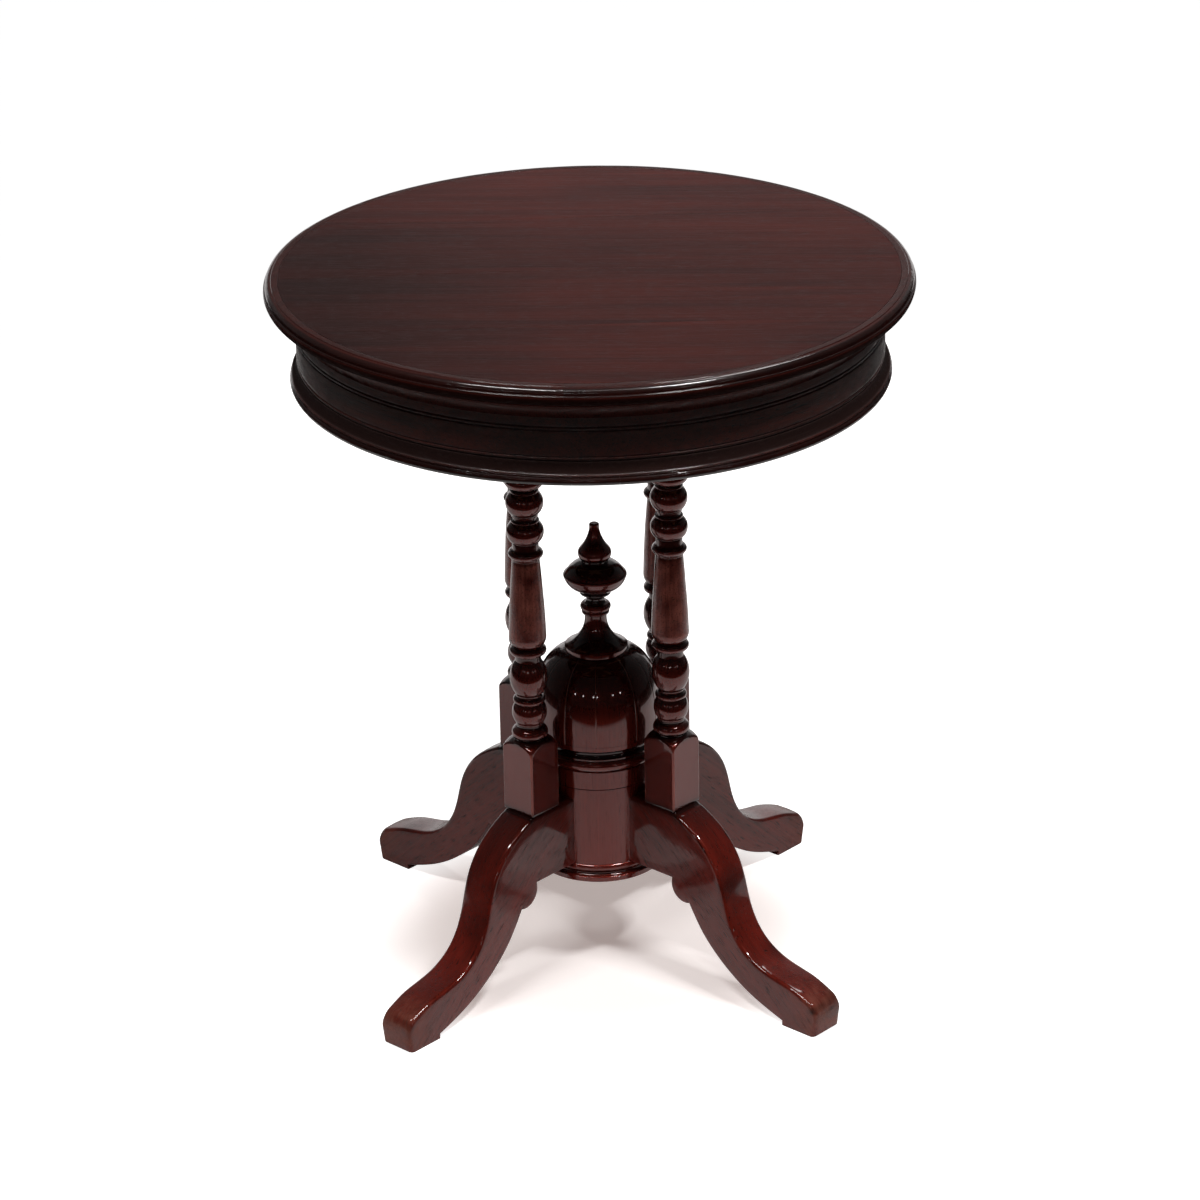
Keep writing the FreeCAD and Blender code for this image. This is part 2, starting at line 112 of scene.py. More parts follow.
quadrants = {"back_right": 45.0, "back_left": 135.0, "front_left": 225.0, "front_right": 315.0}
rim_joint_azimuths = (-160.0, -97.0, 0.5, 95.0, 200.0)
apron_joint_azimuths = (-5.0, 85.0, 175.0, 265.0, 355.0)
cove_joint_azimuths = (31.0, 121.0, 211.0, 301.0, 391.0)
bead_joint_azimuths = (2.5, 92.5, 182.5, 272.5, 362.5)

# Sections and turnings as shares. Two values end a straight run. Four end an arc, and the last two are a
# point in its middle. Sections give width then height, and turnings give height then radius.
rim_section_shares = (
    (0.0, 0.0), (0.66, 0.0), (0.74, 0.03),
    (1.0, 0.52, 0.95, 0.24), (0.94, 0.585, 0.985, 0.56),
    (0.90, 0.585), (0.90, 0.65), (0.50, 0.955, 0.785, 0.865),
    (0.46, 1.0), (0.0, 1.0),
)
cove_section_shares = (
    (0.0, 0.0), (0.13, 0.0), (0.80, 0.78, 0.26, 0.49),
    (0.80, 0.80), (1.0, 0.80), (1.0, 1.0), (0.0, 1.0),
)
bead_section_shares = (
    (0.0, 0.0), (0.90, 0.0), (0.955, 0.86, 1.0, 0.42), (0.955, 1.0), (0.0, 1.0),
)
rim_arris_shares = ((0.46, 1.0), (0.90, 0.65), (1.0, 0.52))
cove_lower_arris_share = (0.13, 0.0)
groove_place_shares = (0.176, 0.230, 0.574, 0.622)
column_turning_shares = (
    (0.0, 0.78), (0.030, 0.78),
    (0.066, 0.74, 0.048, 0.93), (0.067, 0.66), (0.078, 0.66, 0.072, 0.64),
    (0.078, 0.71), (0.083, 0.71), (0.151, 0.70, 0.116, 0.89),
    (0.152, 0.74), (0.170, 0.74, 0.161, 0.81), (0.171, 0.66), (0.182, 0.66, 0.176, 0.64),
    (0.183, 0.69), (0.294, 0.69, 0.239, 0.965),
    (0.295, 0.665), (0.316, 0.665), (0.317, 0.76), (0.345, 0.76, 0.332, 0.945),
    (0.346, 0.74), (0.349, 0.78), (0.382, 0.95, 0.361, 0.90), (0.640, 0.70, 0.503, 0.865),
    (0.641, 0.73), (0.647, 0.73), (0.648, 0.76), (0.672, 0.76, 0.660, 0.89),
    (0.673, 0.675), (0.696, 0.675),
    (0.697, 0.66), (0.768, 0.67, 0.731, 0.955),
    (0.768, 0.72), (0.773, 0.72), (0.773, 0.615), (0.787, 0.615), (0.787, 0.68), (0.793, 0.68),
    (0.868, 0.68, 0.830, 0.955),
    (0.868, 0.73), (0.875, 0.73), (0.875, 0.65), (0.882, 0.65), (0.882, 0.72),
    (0.921, 0.88, 0.903, 1.0), (0.923, 0.71), (0.948, 0.68, 0.935, 0.64),
    (0.949, 0.74), (0.965, 0.74, 0.957, 0.84), (0.966, 0.78), (1.0, 0.78),
)
newel_turning_shares = (
    (0.0, 1.0), (0.636, 1.0), (0.638, 0.970), (0.646, 0.970), (0.646, 1.025),
    (0.788, 1.025), (0.792, 1.005), (0.872, 1.0, 0.832, 1.045),
    (0.874, 0.985), (0.890, 0.985), (0.890, 0.955), (0.957, 0.985, 0.917, 0.925),
    (0.959, 1.018), (0.965, 1.033), (1.0, 1.033),
)
base_turning_shares = (
    (0.0, 0.97), (0.04, 1.0), (0.30, 1.0), (0.34, 0.985),
    (0.34, 0.955), (0.58, 0.945, 0.46, 0.93), (0.60, 0.95), (1.0, 0.95, 0.80, 0.985),
)
dome_turning_shares = (
    (0.0, 0.995), (0.405, 0.987, 0.190, 1.0), (0.810, 0.815, 0.616, 0.932), (1.0, 0.492, 0.928, 0.676),
)
finial_turning_shares = (
    (0.0, 1.0), (0.033, 1.0), (0.042, 0.94),
    (0.255, 0.35, 0.120, 0.53), (0.280, 0.35),
    (0.283, 0.40), (0.311, 0.41, 0.297, 0.44),
    (0.313, 0.42), (0.368, 0.41, 0.340, 0.485),
    (0.370, 0.34), (0.436, 0.38, 0.400, 0.285),
    (0.438, 0.43), (0.468, 0.47, 0.452, 0.50), (0.474, 0.45), (0.479, 0.48),
    (0.584, 0.993, 0.518, 0.83), (0.605, 0.985, 0.594, 1.003), (0.608, 0.945),
    (0.696, 0.46, 0.667, 0.74), (0.698, 0.43), (0.717, 0.43), (0.718, 0.445),
    (0.808, 0.463, 0.760, 0.529), (0.957, 0.160, 0.862, 0.300),
    (0.985, 0.160), (1.0, 0.10, 0.996, 0.145),
)
leg_top_shares = (
    (0.382, 0.897), (0.480, 0.734), (0.527, 0.538), (0.599, 0.375), (0.714, 0.285), (0.871, 0.240),
    (0.966, 0.196),
)
leg_toe_shares = ((0.992, 0.163), (1.0, 0.112))
leg_sole_end_share = 0.996
leg_underside_shares = ((0.323, 0.500), (0.395, 0.359), (0.505, 0.223), (0.654, 0.106))
leg_lobe_width_share = 0.089
leg_lobe_middle_shares = (0.245, 0.525)
# Foot of the apron in the same way, but in millimetres out from its face and up from its foot
apron_foot_places = ((5.5, 0.0), (5.5, 0.7), (4.4, 2.4, 5.2, 1.6), (0.0, 11.2, 1.2, 6.6))
# Shoulder between a column's block and its turning, as radius and rise
column_shoulder_places = ((26.2, 0.0), (20.9, 5.9), (14.82, 8.0))
# Joints between the staves of the dome, as azimuths from the front, growing to the right
dome_seam_azimuths = (-151, -122, -93, -64, -33.5, -4, 35, 62, 92, 121, 150, 179)


# Camera


def placed(name, data):
    """A new object in the scene."""
    made = bpy.data.objects.new(name, data)
    bpy.context.scene.collection.objects.link(made)
    return made


def make_camera():
    """The photograph's place, heading and lens."""
    place = Vector((-0.1705, -4.143, 2.228))
    yaw, pitch, roll = 0.0422, 0.4215, 0.018
    ahead = Vector((math.sin(yaw) * math.cos(pitch), math.cos(yaw) * math.cos(pitch), -math.sin(pitch)))
    right = Vector((math.cos(yaw), -math.sin(yaw), 0))
    down = ahead.cross(right)
    across = math.cos(roll) * right + math.sin(roll) * down
    under = math.cos(roll) * down - math.sin(roll) * right
    turn = Matrix((across, -under, -ahead)).transposed()
    data = bpy.data.cameras.new("photo_camera")
    data.sensor_width = 36.0
    data.lens = 141.45
    camera = placed("photo_camera", data)
    camera.matrix_world = Matrix.Translation(place) @ turn.to_4x4()
    bpy.context.scene.camera = camera


make_camera()


# Lines


def arc_points(start, middle, end):
    """Points on the circle through three, from the first to the last."""
    (ax, ay), (bx, by), (cx, cy) = start, middle, end
    double = 2 * (ax * (by - cy) + bx * (cy - ay) + cx * (ay - by))
    a2, b2, c2 = ax * ax + ay * ay, bx * bx + by * by, cx * cx + cy * cy
    ux = (a2 * (by - cy) + b2 * (cy - ay) + c2 * (ay - by)) / double
    uy = (a2 * (cx - bx) + b2 * (ax - cx) + c2 * (bx - ax)) / double
    radius = math.hypot(ax - ux, ay - uy)
    first = math.atan2(ay - uy, ax - ux)
    through = (math.atan2(by - uy, bx - ux) - first) % math.tau
    sweep = (math.atan2(cy - uy, cx - ux) - first) % math.tau
    if through > sweep:
        sweep -= math.tau
    count = max(3, math.ceil(max(abs(math.degrees(sweep)) / 7, abs(sweep) * radius / 2)))
    turns = [first + sweep * i / count for i in range(count + 1)]
    return [np.array((ux + radius * math.cos(turn), uy + radius * math.sin(turn))) for turn in turns]


def traced(rows, place, longest=6.0):
    """Points along rows of shares, with straight runs divided where they are long."""
    points = [np.array(place(*rows[0]))]
    for row in rows[1:]:
        end = np.array(place(*row[:2]))
        if len(row) == 4:
            points += arc_points(points[-1], place(*row[2:]), end)[1:]
        else:
            start = points[-1]
            count = max(1, math.ceil(np.linalg.norm(end - start) / longest))
            points += [start + (end - start) * (i + 1) / count for i in range(count)]
    return np.array(points)


def eased(points, reach, closed=False):
    """Points with each sharp corner cut back and bridged by a small round."""
    made = []
    count = len(points)
    for index, corner in enumerate(points):
        if not closed and index in (0, count - 1):
            made.append(corner)
            continue
        back = points[index - 1] - corner
        on = points[(index + 1) % count] - corner
        back_length, on_length = np.linalg.norm(back), np.linalg.norm(on)
        turn = math.degrees(math.acos(max(-1, min(1, -np.dot(back, on) / (back_length * on_length)))))
        if turn < 15:
            made.append(corner)
            continue
        cut = min(reach, 0.42 * back_length, 0.42 * on_length)
        start = corner + back / back_length * cut
        end = corner + on / on_length * cut
        for t in (0, 0.25, 0.5, 0.75, 1):
            made.append((1 - t) ** 2 * start + 2 * t * (1 - t) * corner + t * t * end)
    return np.array(made)


def smooth_through(points, per_span):
    """A natural cubic curve through points, divided evenly between each two of them."""
    points = np.array(points)
    steps = np.linalg.norm(np.diff(points, axis=0), axis=1)
    count = len(points)
    system = np.eye(count)
    wanted = np.zeros_like(points)
    for i in range(1, count - 1):
        system[i, i - 1:i + 2] = steps[i - 1], 2 * (steps[i - 1] + steps[i]), steps[i]
        before, after = points[i] - points[i - 1], points[i + 1] - points[i]
        wanted[i] = 6 * (after / steps[i] - before / steps[i - 1])
    bend = np.linalg.solve(system, wanted)
    spans = []
    for i, step in enumerate(steps):
        on = np.linspace(0, step, per_span + 1)[:, None]
        left = step - on
        spans.append(
            (bend[i] * left ** 3 + bend[i + 1] * on ** 3) / (6 * step)
            + (points[i] / step - bend[i] * step / 6) * left
            + (points[i + 1] / step - bend[i + 1] * step / 6) * on
        )
    return spans


def evenly(points, count):
    """The same line in equal steps."""
    points = np.array(points)
    along = np.concatenate(([0], np.cumsum(np.linalg.norm(np.diff(points, axis=0), axis=1))))
    places = np.linspace(0, along[-1], count + 1)
    return np.stack([np.interp(places, along, points[:, axis]) for axis in (0, 1)], axis=1)


def uneven(place, size, seed):
    """Smooth chance unevenness between -1 and 1, with hollows and humps of about a size."""
    out, over, up = (part / size for part in place)
    return noise.noise(Vector((out + seed * 7.31, over - seed * 3.17, up)))


# Meshes


# Tones: wear; pale joint lines, partly a painted highlight; dark dirt and painted shade; coarse specks
tone_titles = ("wear", "seam", "hollow", "coarse")


def skin(rings, cap="strip"):
    """Points and faces over closed rings of equal count, capped at both ends."""
    rings = np.asarray(rings)
    rows, count = rings.shape[:2]
    faces = []
    for row in range(rows - 1):
        low, high = row * count, (row + 1) * count
        for i in range(count):
            j = (i + 1) % count
            faces.append((low + i, low + j, high + j, high + i))
    for start in (0, (rows - 1) * count):
        if cap == "strip":
            for i in range(count // 2 - 1):
                faces.append((start + i, start + i + 1, start + count - 2 - i, start + count - 1 - i))
        else:
            faces.append(tuple(range(start, start + count)))
    return rings.reshape(-1, 3), faces


def make_piece(name, points, faces, nodes, slot, grain, **tones):
    """A piece in metres, in the finish of its slot, that rides on the table and stands for its solids.

    grain gives each point its place in the board it was cut from: along the fibre, then across it twice.
    The tones seam, hollow and coarse run from 0 to 1, and so does wear, which past 1 takes the lacquer off
    too. seam pales joint lines, partly as a painted highlight, and hollow darkens with dirt and painted
    shade. Each is one value, or one for every point.
    """
    mesh = bpy.data.meshes.new(name)
    mesh.from_pydata((np.asarray(points) * mm).tolist(), [], faces)
    draft = bmesh.new()
    draft.from_mesh(mesh)
    bmesh.ops.recalc_face_normals(draft, faces=draft.faces)
    draft.to_mesh(mesh)
    draft.free()
    mesh.shade_smooth()
    mesh.set_sharp_from_angle(angle=math.radians(42))
    board = mesh.attributes.new("grain", "FLOAT_VECTOR", "POINT")
    board.data.foreach_set("vector", (np.asarray(grain) * mm).astype(np.float32).ravel())
    for title in tone_titles:
        values = np.zeros(len(points), np.float32)
        values[:] = tones.get(title, 0.0)
        mesh.attributes.new(title, "FLOAT", "POINT").data.foreach_set("value", values)
    mesh.materials.append(finishes[slot])
    piece = placed(name, mesh)
    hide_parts(*nodes)
    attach(piece, "root")


def level_ring(reach, up, angles):
    """Points round an axis at one height."""
    return np.column_stack([reach * np.cos(angles), reach * np.sin(angles), np.full(len(angles), up)])


def turned_about(points, azimuth):
    """Points turned about the table's axis."""
    return points @ np.array(Matrix.Rotation(math.radians(azimuth), 3, "Z")).T


def turned_axes(first, second, degrees):
    """The same places measured along axes that are turned by an angle."""
    turn = math.radians(degrees)
    return (first * math.cos(turn) + second * math.sin(turn),
            second * math.cos(turn) - first * math.sin(turn))


def turning(rows, radius, foot, height, ease=0.3):
    """Radius and height along a turned profile, closed in to the axis at both ends."""
    points = traced(rows, lambda up, out: (radius * out, foot + height * up))
    points = eased(points, ease)
    first, last = points[0], points[-1]
    start = [(axis_hole, first[1]), (first[0] - axis_hole, first[1])]
    end = [(last[0] - axis_hole, last[1]), (axis_hole, last[1])]
    return np.array([*start, *points, *end])


# Dust and painted shade: turnings are darkened where they lie below their neighbours
def recess_dust_and_shade(reaches, heights):
    """How deep each level of a turning lies below its neighbours within 7 mm, from 0 to 1."""
    near = np.abs(heights[:, None] - heights[None]) < 7.0
    around = np.where(near, reaches[None], 0.0).max(axis=1)
    return 0.85 * np.clip((around - reaches - 1.5) / 4.5, 0, 1)


def upward_dust_and_shade(reaches, heights):
    """How far each level of a turning faces upward, where dust and polish lie and shade is painted, from 0
    to 1.
    """
    slope = -np.gradient(reaches) / np.maximum(np.abs(np.gradient(heights)), 0.02)
    return np.clip((slope - 0.1) / 0.6, 0, 1) * (np.abs(reaches) < 20)


# Finishes


def linear(code):
    """A colour from its sRGB hex code."""
    channels = [int(code[i:i + 2], 16) / 255 for i in (1, 3, 5)]
    return (*[c / 12.92 if c <= 0.04045 else ((c + 0.055) / 1.055) ** 2.4 for c in channels], 1.0)


def add(tree, kind, feeds=None, **settings):
    """A node with its settings, and with values or other nodes' outputs fed to its sockets."""
    made = tree.nodes.new(kind)
    for title, value in settings.items():
        setattr(made, title, value)
    for socket, value in (feeds or {}).items():
        if isinstance(value, bpy.types.NodeSocket):
            tree.links.new(value, made.inputs[socket])
        else:
            made.inputs[socket].default_value = value
    return made


def share(tree, value, low, high, to_low=0.0, to_high=1.0):
    """A value spread from one range to another and held within it."""
    return add(tree, "ShaderNodeMapRange", {
        "Value": value, "From Min": low, "From Max": high, "To Min": to_low, "To Max": to_high,
    }).outputs["Result"]


def blend(tree, factor, one, other):
    """Two colours mixed."""
    made = add(tree, "ShaderNodeMix", data_type="RGBA")
    for index, value in ((0, factor), (6, one), (7, other)):
        if isinstance(value, bpy.types.NodeSocket):
            tree.links.new(value, made.inputs[index])
        else:
            made.inputs[index].default_value = value
    return made.outputs[2]


def sums(tree, way, one, other):
    """Two numbers worked together."""
    return add(tree, "ShaderNodeMath", {0: one, 1: other}, operation=way).outputs[0]


def streaks(tree, board, along, across, detail=4.0, roughness=0.6, distortion=0.0):
    """Noise drawn out along the fibre, from its length and width in millimetres."""
    stretched = add(tree, "ShaderNodeVectorMath", {
        0: board, 1: (1 / (along * mm), 1 / (across * mm), 1 / (across * mm)),
    }, operation="MULTIPLY").outputs[0]
    return add(tree, "ShaderNodeTexNoise", {
        "Vector": stretched, "Scale": 1.0, "Detail": detail, "Roughness": roughness,
        "Distortion": distortion,
    }).outputs["Fac"]


def mottled(tree, place, size, detail, roughness):
    """Noise as wide as it is long, from its size in millimetres."""
    return add(tree, "ShaderNodeTexNoise", {
        "Vector": place, "Scale": 1 / (size * mm), "Detail": detail, "Roughness": roughness,
    }).outputs["Fac"]


def new_finish(name):
    """An empty material and its nodes."""
    finish = bpy.data.materials.new(name)
    finish.use_nodes = True
    finish.node_tree.nodes.clear()
    return finish, finish.node_tree


def shown(tree, shader, output="ShaderNodeOutputMaterial"):
    """Leads a shader to the surface it is seen on."""
    tree.links.new(shader.outputs[0], add(tree, output).inputs["Surface"])


def wood_colour(tree, marks, tones, rubbed, specks, light, dark, worn, figure, pores):
    """The stain's colour over the grain, and what wear, glue, dirt and painted light and shade make of it.
    """
    bands, fibres, patches, pore_marks = marks
    blended = sums(tree, "ADD", sums(tree, "MULTIPLY", bands, 0.35), sums(tree, "MULTIPLY", fibres, 0.4))
    blended = sums(tree, "ADD", blended, sums(tree, "MULTIPLY", patches, 0.25))
    spread = share(tree, blended, 0.5 - 0.35 / figure, 0.5 + 0.35 / figure)
    colour = blend(tree, spread, linear(dark), linear(light))
    speckled = sums(tree, "MULTIPLY", tones["coarse"], share(tree, specks, 0.54, 0.66))
    # Last, stain, polish and dust gather in the hollows; the darkest covering also paints shade
    for factor, covering in (
        (sums(tree, "MULTIPLY", pore_marks, pores), "#120504"),
        (rubbed, worn),
        # Pale joint lines, partly a painted highlight
        (tones["seam"], "#7a4a3a"),
        (speckled, "#150806"),
        # Dark dirt, and painted shade where the light is weak
        (tones["hollow"], "#0b0403"),
    ):
        colour = blend(tree, factor, colour, linear(covering))
    return colour


def wood_surface(tree, board, flat, marks, coarse, specks, wave, pores):
    """Bumps of the lacquer's surface, and of the grain below it."""
    # Slow unevenness 30 mm across and finer brush and sanding marks 5 mm across
    slow = mottled(tree, flat, 30, 2.0, 0.4)
    brushed = streaks(tree, board, 60, 5, 3.0, 0.5)
    height = sums(tree, "ADD", slow, sums(tree, "MULTIPLY", brushed, 0.18))
    surface = add(tree, "ShaderNodeBump", {"Height": height, "Strength": 1.0, "Distance": wave * mm})
    surface = add(tree, "ShaderNodeBump", {
        "Height": sums(tree, "MULTIPLY", coarse, specks), "Strength": 1.0, "Distance": 0.30 * mm,
        "Normal": surface.outputs[0],
    })
    _, fibres, _, pore_marks = marks
    furrows = sums(tree, "SUBTRACT", sums(tree, "MULTIPLY", fibres, 0.35), pore_marks)
    grainy = add(tree, "ShaderNodeBump", {
        "Height": furrows, "Strength": 1.0, "Distance": pores * 0.12 * mm, "Normal": surface.outputs[0],
    })
    return surface.outputs[0], grainy.outputs[0]


def stained_wood(name, light, dark, worn, figure, roughness, coat, wave, pores, sheen=0.12, tint="#ffffff"):
    """Stained hardwood under a clear finish.

    light and dark are the colours of its early and late wood, and worn is where hands and feet have rubbed
    it through. figure is how far the colours part, wave the height in millimetres of the unevenness left by
    hand planing, sanding and brushing, and pores how deep and dark the open grain is. coat is None for an
    oiled surface, or the lacquer's weight and roughness. sheen is how strongly the stained wood itself
    shines, and tint the colour of that shine.
    """
    finish, tree = new_finish(name)
    board = add(tree, "ShaderNodeAttribute", attribute_name="grain").outputs["Vector"]
    flat = add(tree, "ShaderNodeTexCoord").outputs["Object"]
    tones = {title: add(tree, "ShaderNodeAttribute", attribute_name=title).outputs["Fac"]
             for title in tone_titles}
    # Bands of early and late wood about 22 mm apart, fibres 3 mm wide and 150 mm long
    bands = share(tree, streaks(tree, board, 520, 22, 3.0, 0.55, 0.6), 0.3, 0.7)
    fibres = share(tree, streaks(tree, board, 150, 3.2, 5.0, 0.65, 0.2), 0.25, 0.75)
    # Stain takes unevenly in patches about a hand wide
    patches = share(tree, streaks(tree, board, 240, 70, 3.0, 0.5), 0.3, 0.72)
    # Pores 16 mm long, drawn 1.1 mm wide where real ones are 0.3 mm, so that they show
    pore_marks = share(tree, streaks(tree, board, 16, 1.1, 2.0, 0.5), 0.58, 0.68)
    marks = (bands, fibres, patches, pore_marks)
    # Specks of dirt under the finish, about 1 mm across
    specks = mottled(tree, flat, 1.3, 2.0, 0.6)
    # Rubbed places are broken up by the fibre, so they fade out in streaks
    rubbed = sums(tree, "MULTIPLY", tones["wear"], share(tree, fibres, 0.15, 0.7, 0.35, 1.0))
    colour = wood_colour(tree, marks, tones, rubbed, specks, light, dark, worn, figure, pores)
    surface, grainy = wood_surface(tree, board, flat, marks, tones["coarse"], specks, wave, pores)
    gloss = share(tree, fibres, 0.0, 1.0, roughness * 1.18, roughness * 0.85)
    gloss = sums(tree, "ADD", gloss, sums(tree, "MULTIPLY", rubbed, 0.12))
    # Dirt and painted shade also darken the stain's own shine
    shine = blend(tree, tones["hollow"], linear(tint), linear("#000000"))
    shader = add(tree, "ShaderNodeBsdfPrincipled", {
        "Base Color": colour, "Roughness": gloss, "IOR": 1.5, "Specular IOR Level": sheen,
        "Specular Tint": shine, "Normal": grainy,
    })
    if coat:
        # Open pores hold less lacquer, and wear takes it off
        whole = share(tree, rubbed, 0.0, 1.0, coat[0], 0.12 * coat[0])
        filled = share(tree, pore_marks, 0.0, 1.0, 1.0, 1.0 - 0.7 * pores)
        left = share(tree, rubbed, 1.0, 2.0, 1.0, 0.0)
        weight = sums(tree, "MULTIPLY", sums(tree, "MULTIPLY", whole, filled), left)
        tree.links.new(weight, shader.inputs["Coat Weight"])
        shader.inputs["Coat Roughness"].default_value = coat[1]
        shader.inputs["Coat IOR"].default_value = 1.5
        tree.links.new(surface, shader.inputs["Coat Normal"])
    shown(tree, shader)
    return finish


def satin_top_finish():
    """Mahogany-stained boards rubbed down to satin: the eye gets brown-red streaks and a soft glow."""
    return stained_wood("satin_rubbed_mahogany_stain", "#52180f", "#2c0c0a", "#6a3527", figure=1.05,
                        roughness=0.33, coat=None, wave=0.08, pores=0.5, sheen=0.16)


def gloss_moulding_finish():
    """Lacquered moulding: nearly black with thin broken glints on its arrises."""
    return stained_wood("gloss_lacquered_moulding", "#2a0c08", "#140504", "#45150e", figure=1.1,
                        roughness=0.38, coat=(1.0, 0.05), wave=0.16, pores=0.6)


def open_pore_apron_finish():
    """Coarse open-pored sawn wood under a thin dark varnish: the pores catch small glints."""
    return stained_wood("open_pore_dark_varnish", "#4c1c15", "#27100c", "#2b1410", figure=1.3,
                        roughness=0.50, coat=(0.6, 0.08), wave=0.30, pores=1.0, sheen=0.4)


def gloss_turning_finish():
    """Turned wood lacquered to a high gloss: clear mirror bands from the floor and the lamps."""
    # The pale worn colour on the columns' cones is partly a painted sheen
    return stained_wood("gloss_lacquered_turning", "#591a12", "#390f0c", "#b06a5c", figure=0.9,
                        roughness=0.22, coat=(1.0, 0.04), wave=0.05, pores=0.3, sheen=0.6, tint="#ff5540")


def gloss_leg_finish():
    """Sawn and hand-shaped legs under lacquer: redder, with soft wavering reflections."""
    return stained_wood("gloss_lacquered_leg", "#661b12", "#380e09", "#6e4136", figure=1.0,
                        roughness=0.36, coat=(0.9, 0.06), wave=0.12, pores=1.0, sheen=0.24, tint="#ff6a54")


def bare_secondary_wood_finish():
    """Unfinished softwood inside the apron: pale brown, dull, with saw marks across the grain."""
    finish, tree = new_finish("bare_sawn_softwood")
    flat = add(tree, "ShaderNodeTexCoord").outputs["Object"]
    turned = add(tree, "ShaderNodeVectorRotate", {"Vector": flat, "Angle": math.radians(-45)}).outputs[0]
    bands = share(tree, streaks(tree, turned, 300, 9, 3.0, 0.5, 0.4), 0.3, 0.7)
    fibres = share(tree, streaks(tree, turned, 90, 1.6, 4.0, 0.6), 0.3, 0.7)
    mixed = sums(tree, "ADD", sums(tree, "MULTIPLY", bands, 0.6), sums(tree, "MULTIPLY", fibres, 0.4))
    colour = blend(tree, mixed, linear("#5f4028"), linear("#9a7650"))
    # Saw marks 2.5 mm apart
    saw = add(tree, "ShaderNodeTexWave", {
        "Vector": turned, "Scale": 1 / (2.5 * mm * 6.28), "Distortion": 1.5, "Detail": 2.0,
        "Detail Scale": 0.4,
    }, bands_direction="X").outputs["Fac"]
    bump = add(tree, "ShaderNodeBump", {
        "Height": sums(tree, "ADD", sums(tree, "MULTIPLY", saw, 0.6), fibres), "Distance": 0.15 * mm,
    })
    shown(tree, add(tree, "ShaderNodeBsdfPrincipled", {
        "Base Color": colour, "Roughness": share(tree, fibres, 0, 1, 0.85, 0.7), "IOR": 1.5,
        "Normal": bump.outputs[0],
    }))
    return finish


def screw_steel_finish():
    """Old steel screws, dull grey with brown patches of rust."""
    finish, tree = new_finish("dull_screw_steel")
    flat = add(tree, "ShaderNodeTexCoord").outputs["Object"]
    rust = share(tree, mottled(tree, flat, 2.5, 4.0, 0.6), 0.45, 0.6)
    shown(tree, add(tree, "ShaderNodeBsdfPrincipled", {
        "Base Color": blend(tree, rust, linear("#8b8883"), linear("#5a3320")),
        "Metallic": share(tree, rust, 0, 1, 1.0, 0.1),
        "Roughness": share(tree, rust, 0, 1, 0.34, 0.8),
    }))
    return finish


finishes = {
    "satin_top": satin_top_finish(),
    "gloss_moulding": gloss_moulding_finish(),
    "open_pore_apron": open_pore_apron_finish(),
    "gloss_turning": gloss_turning_finish(),
    "gloss_leg": gloss_leg_finish(),
    "bare_secondary_wood": bare_secondary_wood_finish(),
    "screw_steel": screw_steel_finish(),
}


# Top


def make_top_board(index):
    """One board of the top, flush with its neighbours, with its joint arrises just broken."""
    width = 2 * boards_radius / board_count
    near = -boards_radius + width * index
    far = near + width
    low, high, ease = board_underside, table_height, board_arris
    across = np.linspace(near + board_joint_gap, far - board_joint_gap, 40)
    if index == 0:
        across[0] = near + outer_board_cut
    if index == board_count - 1:
        across[-1] = far - outer_board_cut
    start, end = across[0], across[-1]
    loop = np.array([
        (start + ease, high), (start, high - ease), (start, low + ease), (start + ease, low),
        *((y, low) for y in across[1:-1]),
        (end - ease, low), (end, low + ease), (end, high - ease), (end - ease, high),
        *((y, high) for y in across[-2:0:-1]),
    ])
    rings = []
    for u in np.linspace(-1, 1, 90):
        reach = np.sqrt(boards_radius ** 2 - loop[:, 0] ** 2) * math.sin(u * math.pi / 2)
        ring = np.column_stack([reach, loop])
        for point in ring:
            if point[2] > high - 2 * ease:
                point[2] -= 0.06 + 0.05 * uneven(point, 60, 1)
        rings.append(ring)
    points, faces = skin(rings, cap="ngon")
    # The fibre runs a few degrees off the joints
    along, over = turned_axes(points[:, 0], points[:, 1], -4.5)
    grain = np.column_stack([along + index * 911.0, over + index * 353.0, points[:, 2] + 40.0 * index])
    # Painted shade: the top is darkened towards the left and towards the front, and lightest at the back
    top_painted_shade = 0.40 * np.clip((-40.0 - points[:, 0]) / 190.0, 0, 1) ** 0.8
    top_painted_shade += 0.32 * np.clip((190.0 - points[:, 1]) / 150.0, 0, 1)
    make_piece("top_board_%d_planed" % (index + 1), points, faces, ["top_board_%d" % (index + 1)],
               "satin_top", grain, hollow=top_painted_shade)


# Rings


def section_place(inner, width, foot, height):
    """What turns shares of a section's width and height into radius and height."""
    return lambda out, up: (inner + width * out, foot + height * up)


def nearest_row(loop, place):
    """Which point of a section is closest to a place."""
    return int(np.argmin(np.linalg.norm(loop - place, axis=1)))


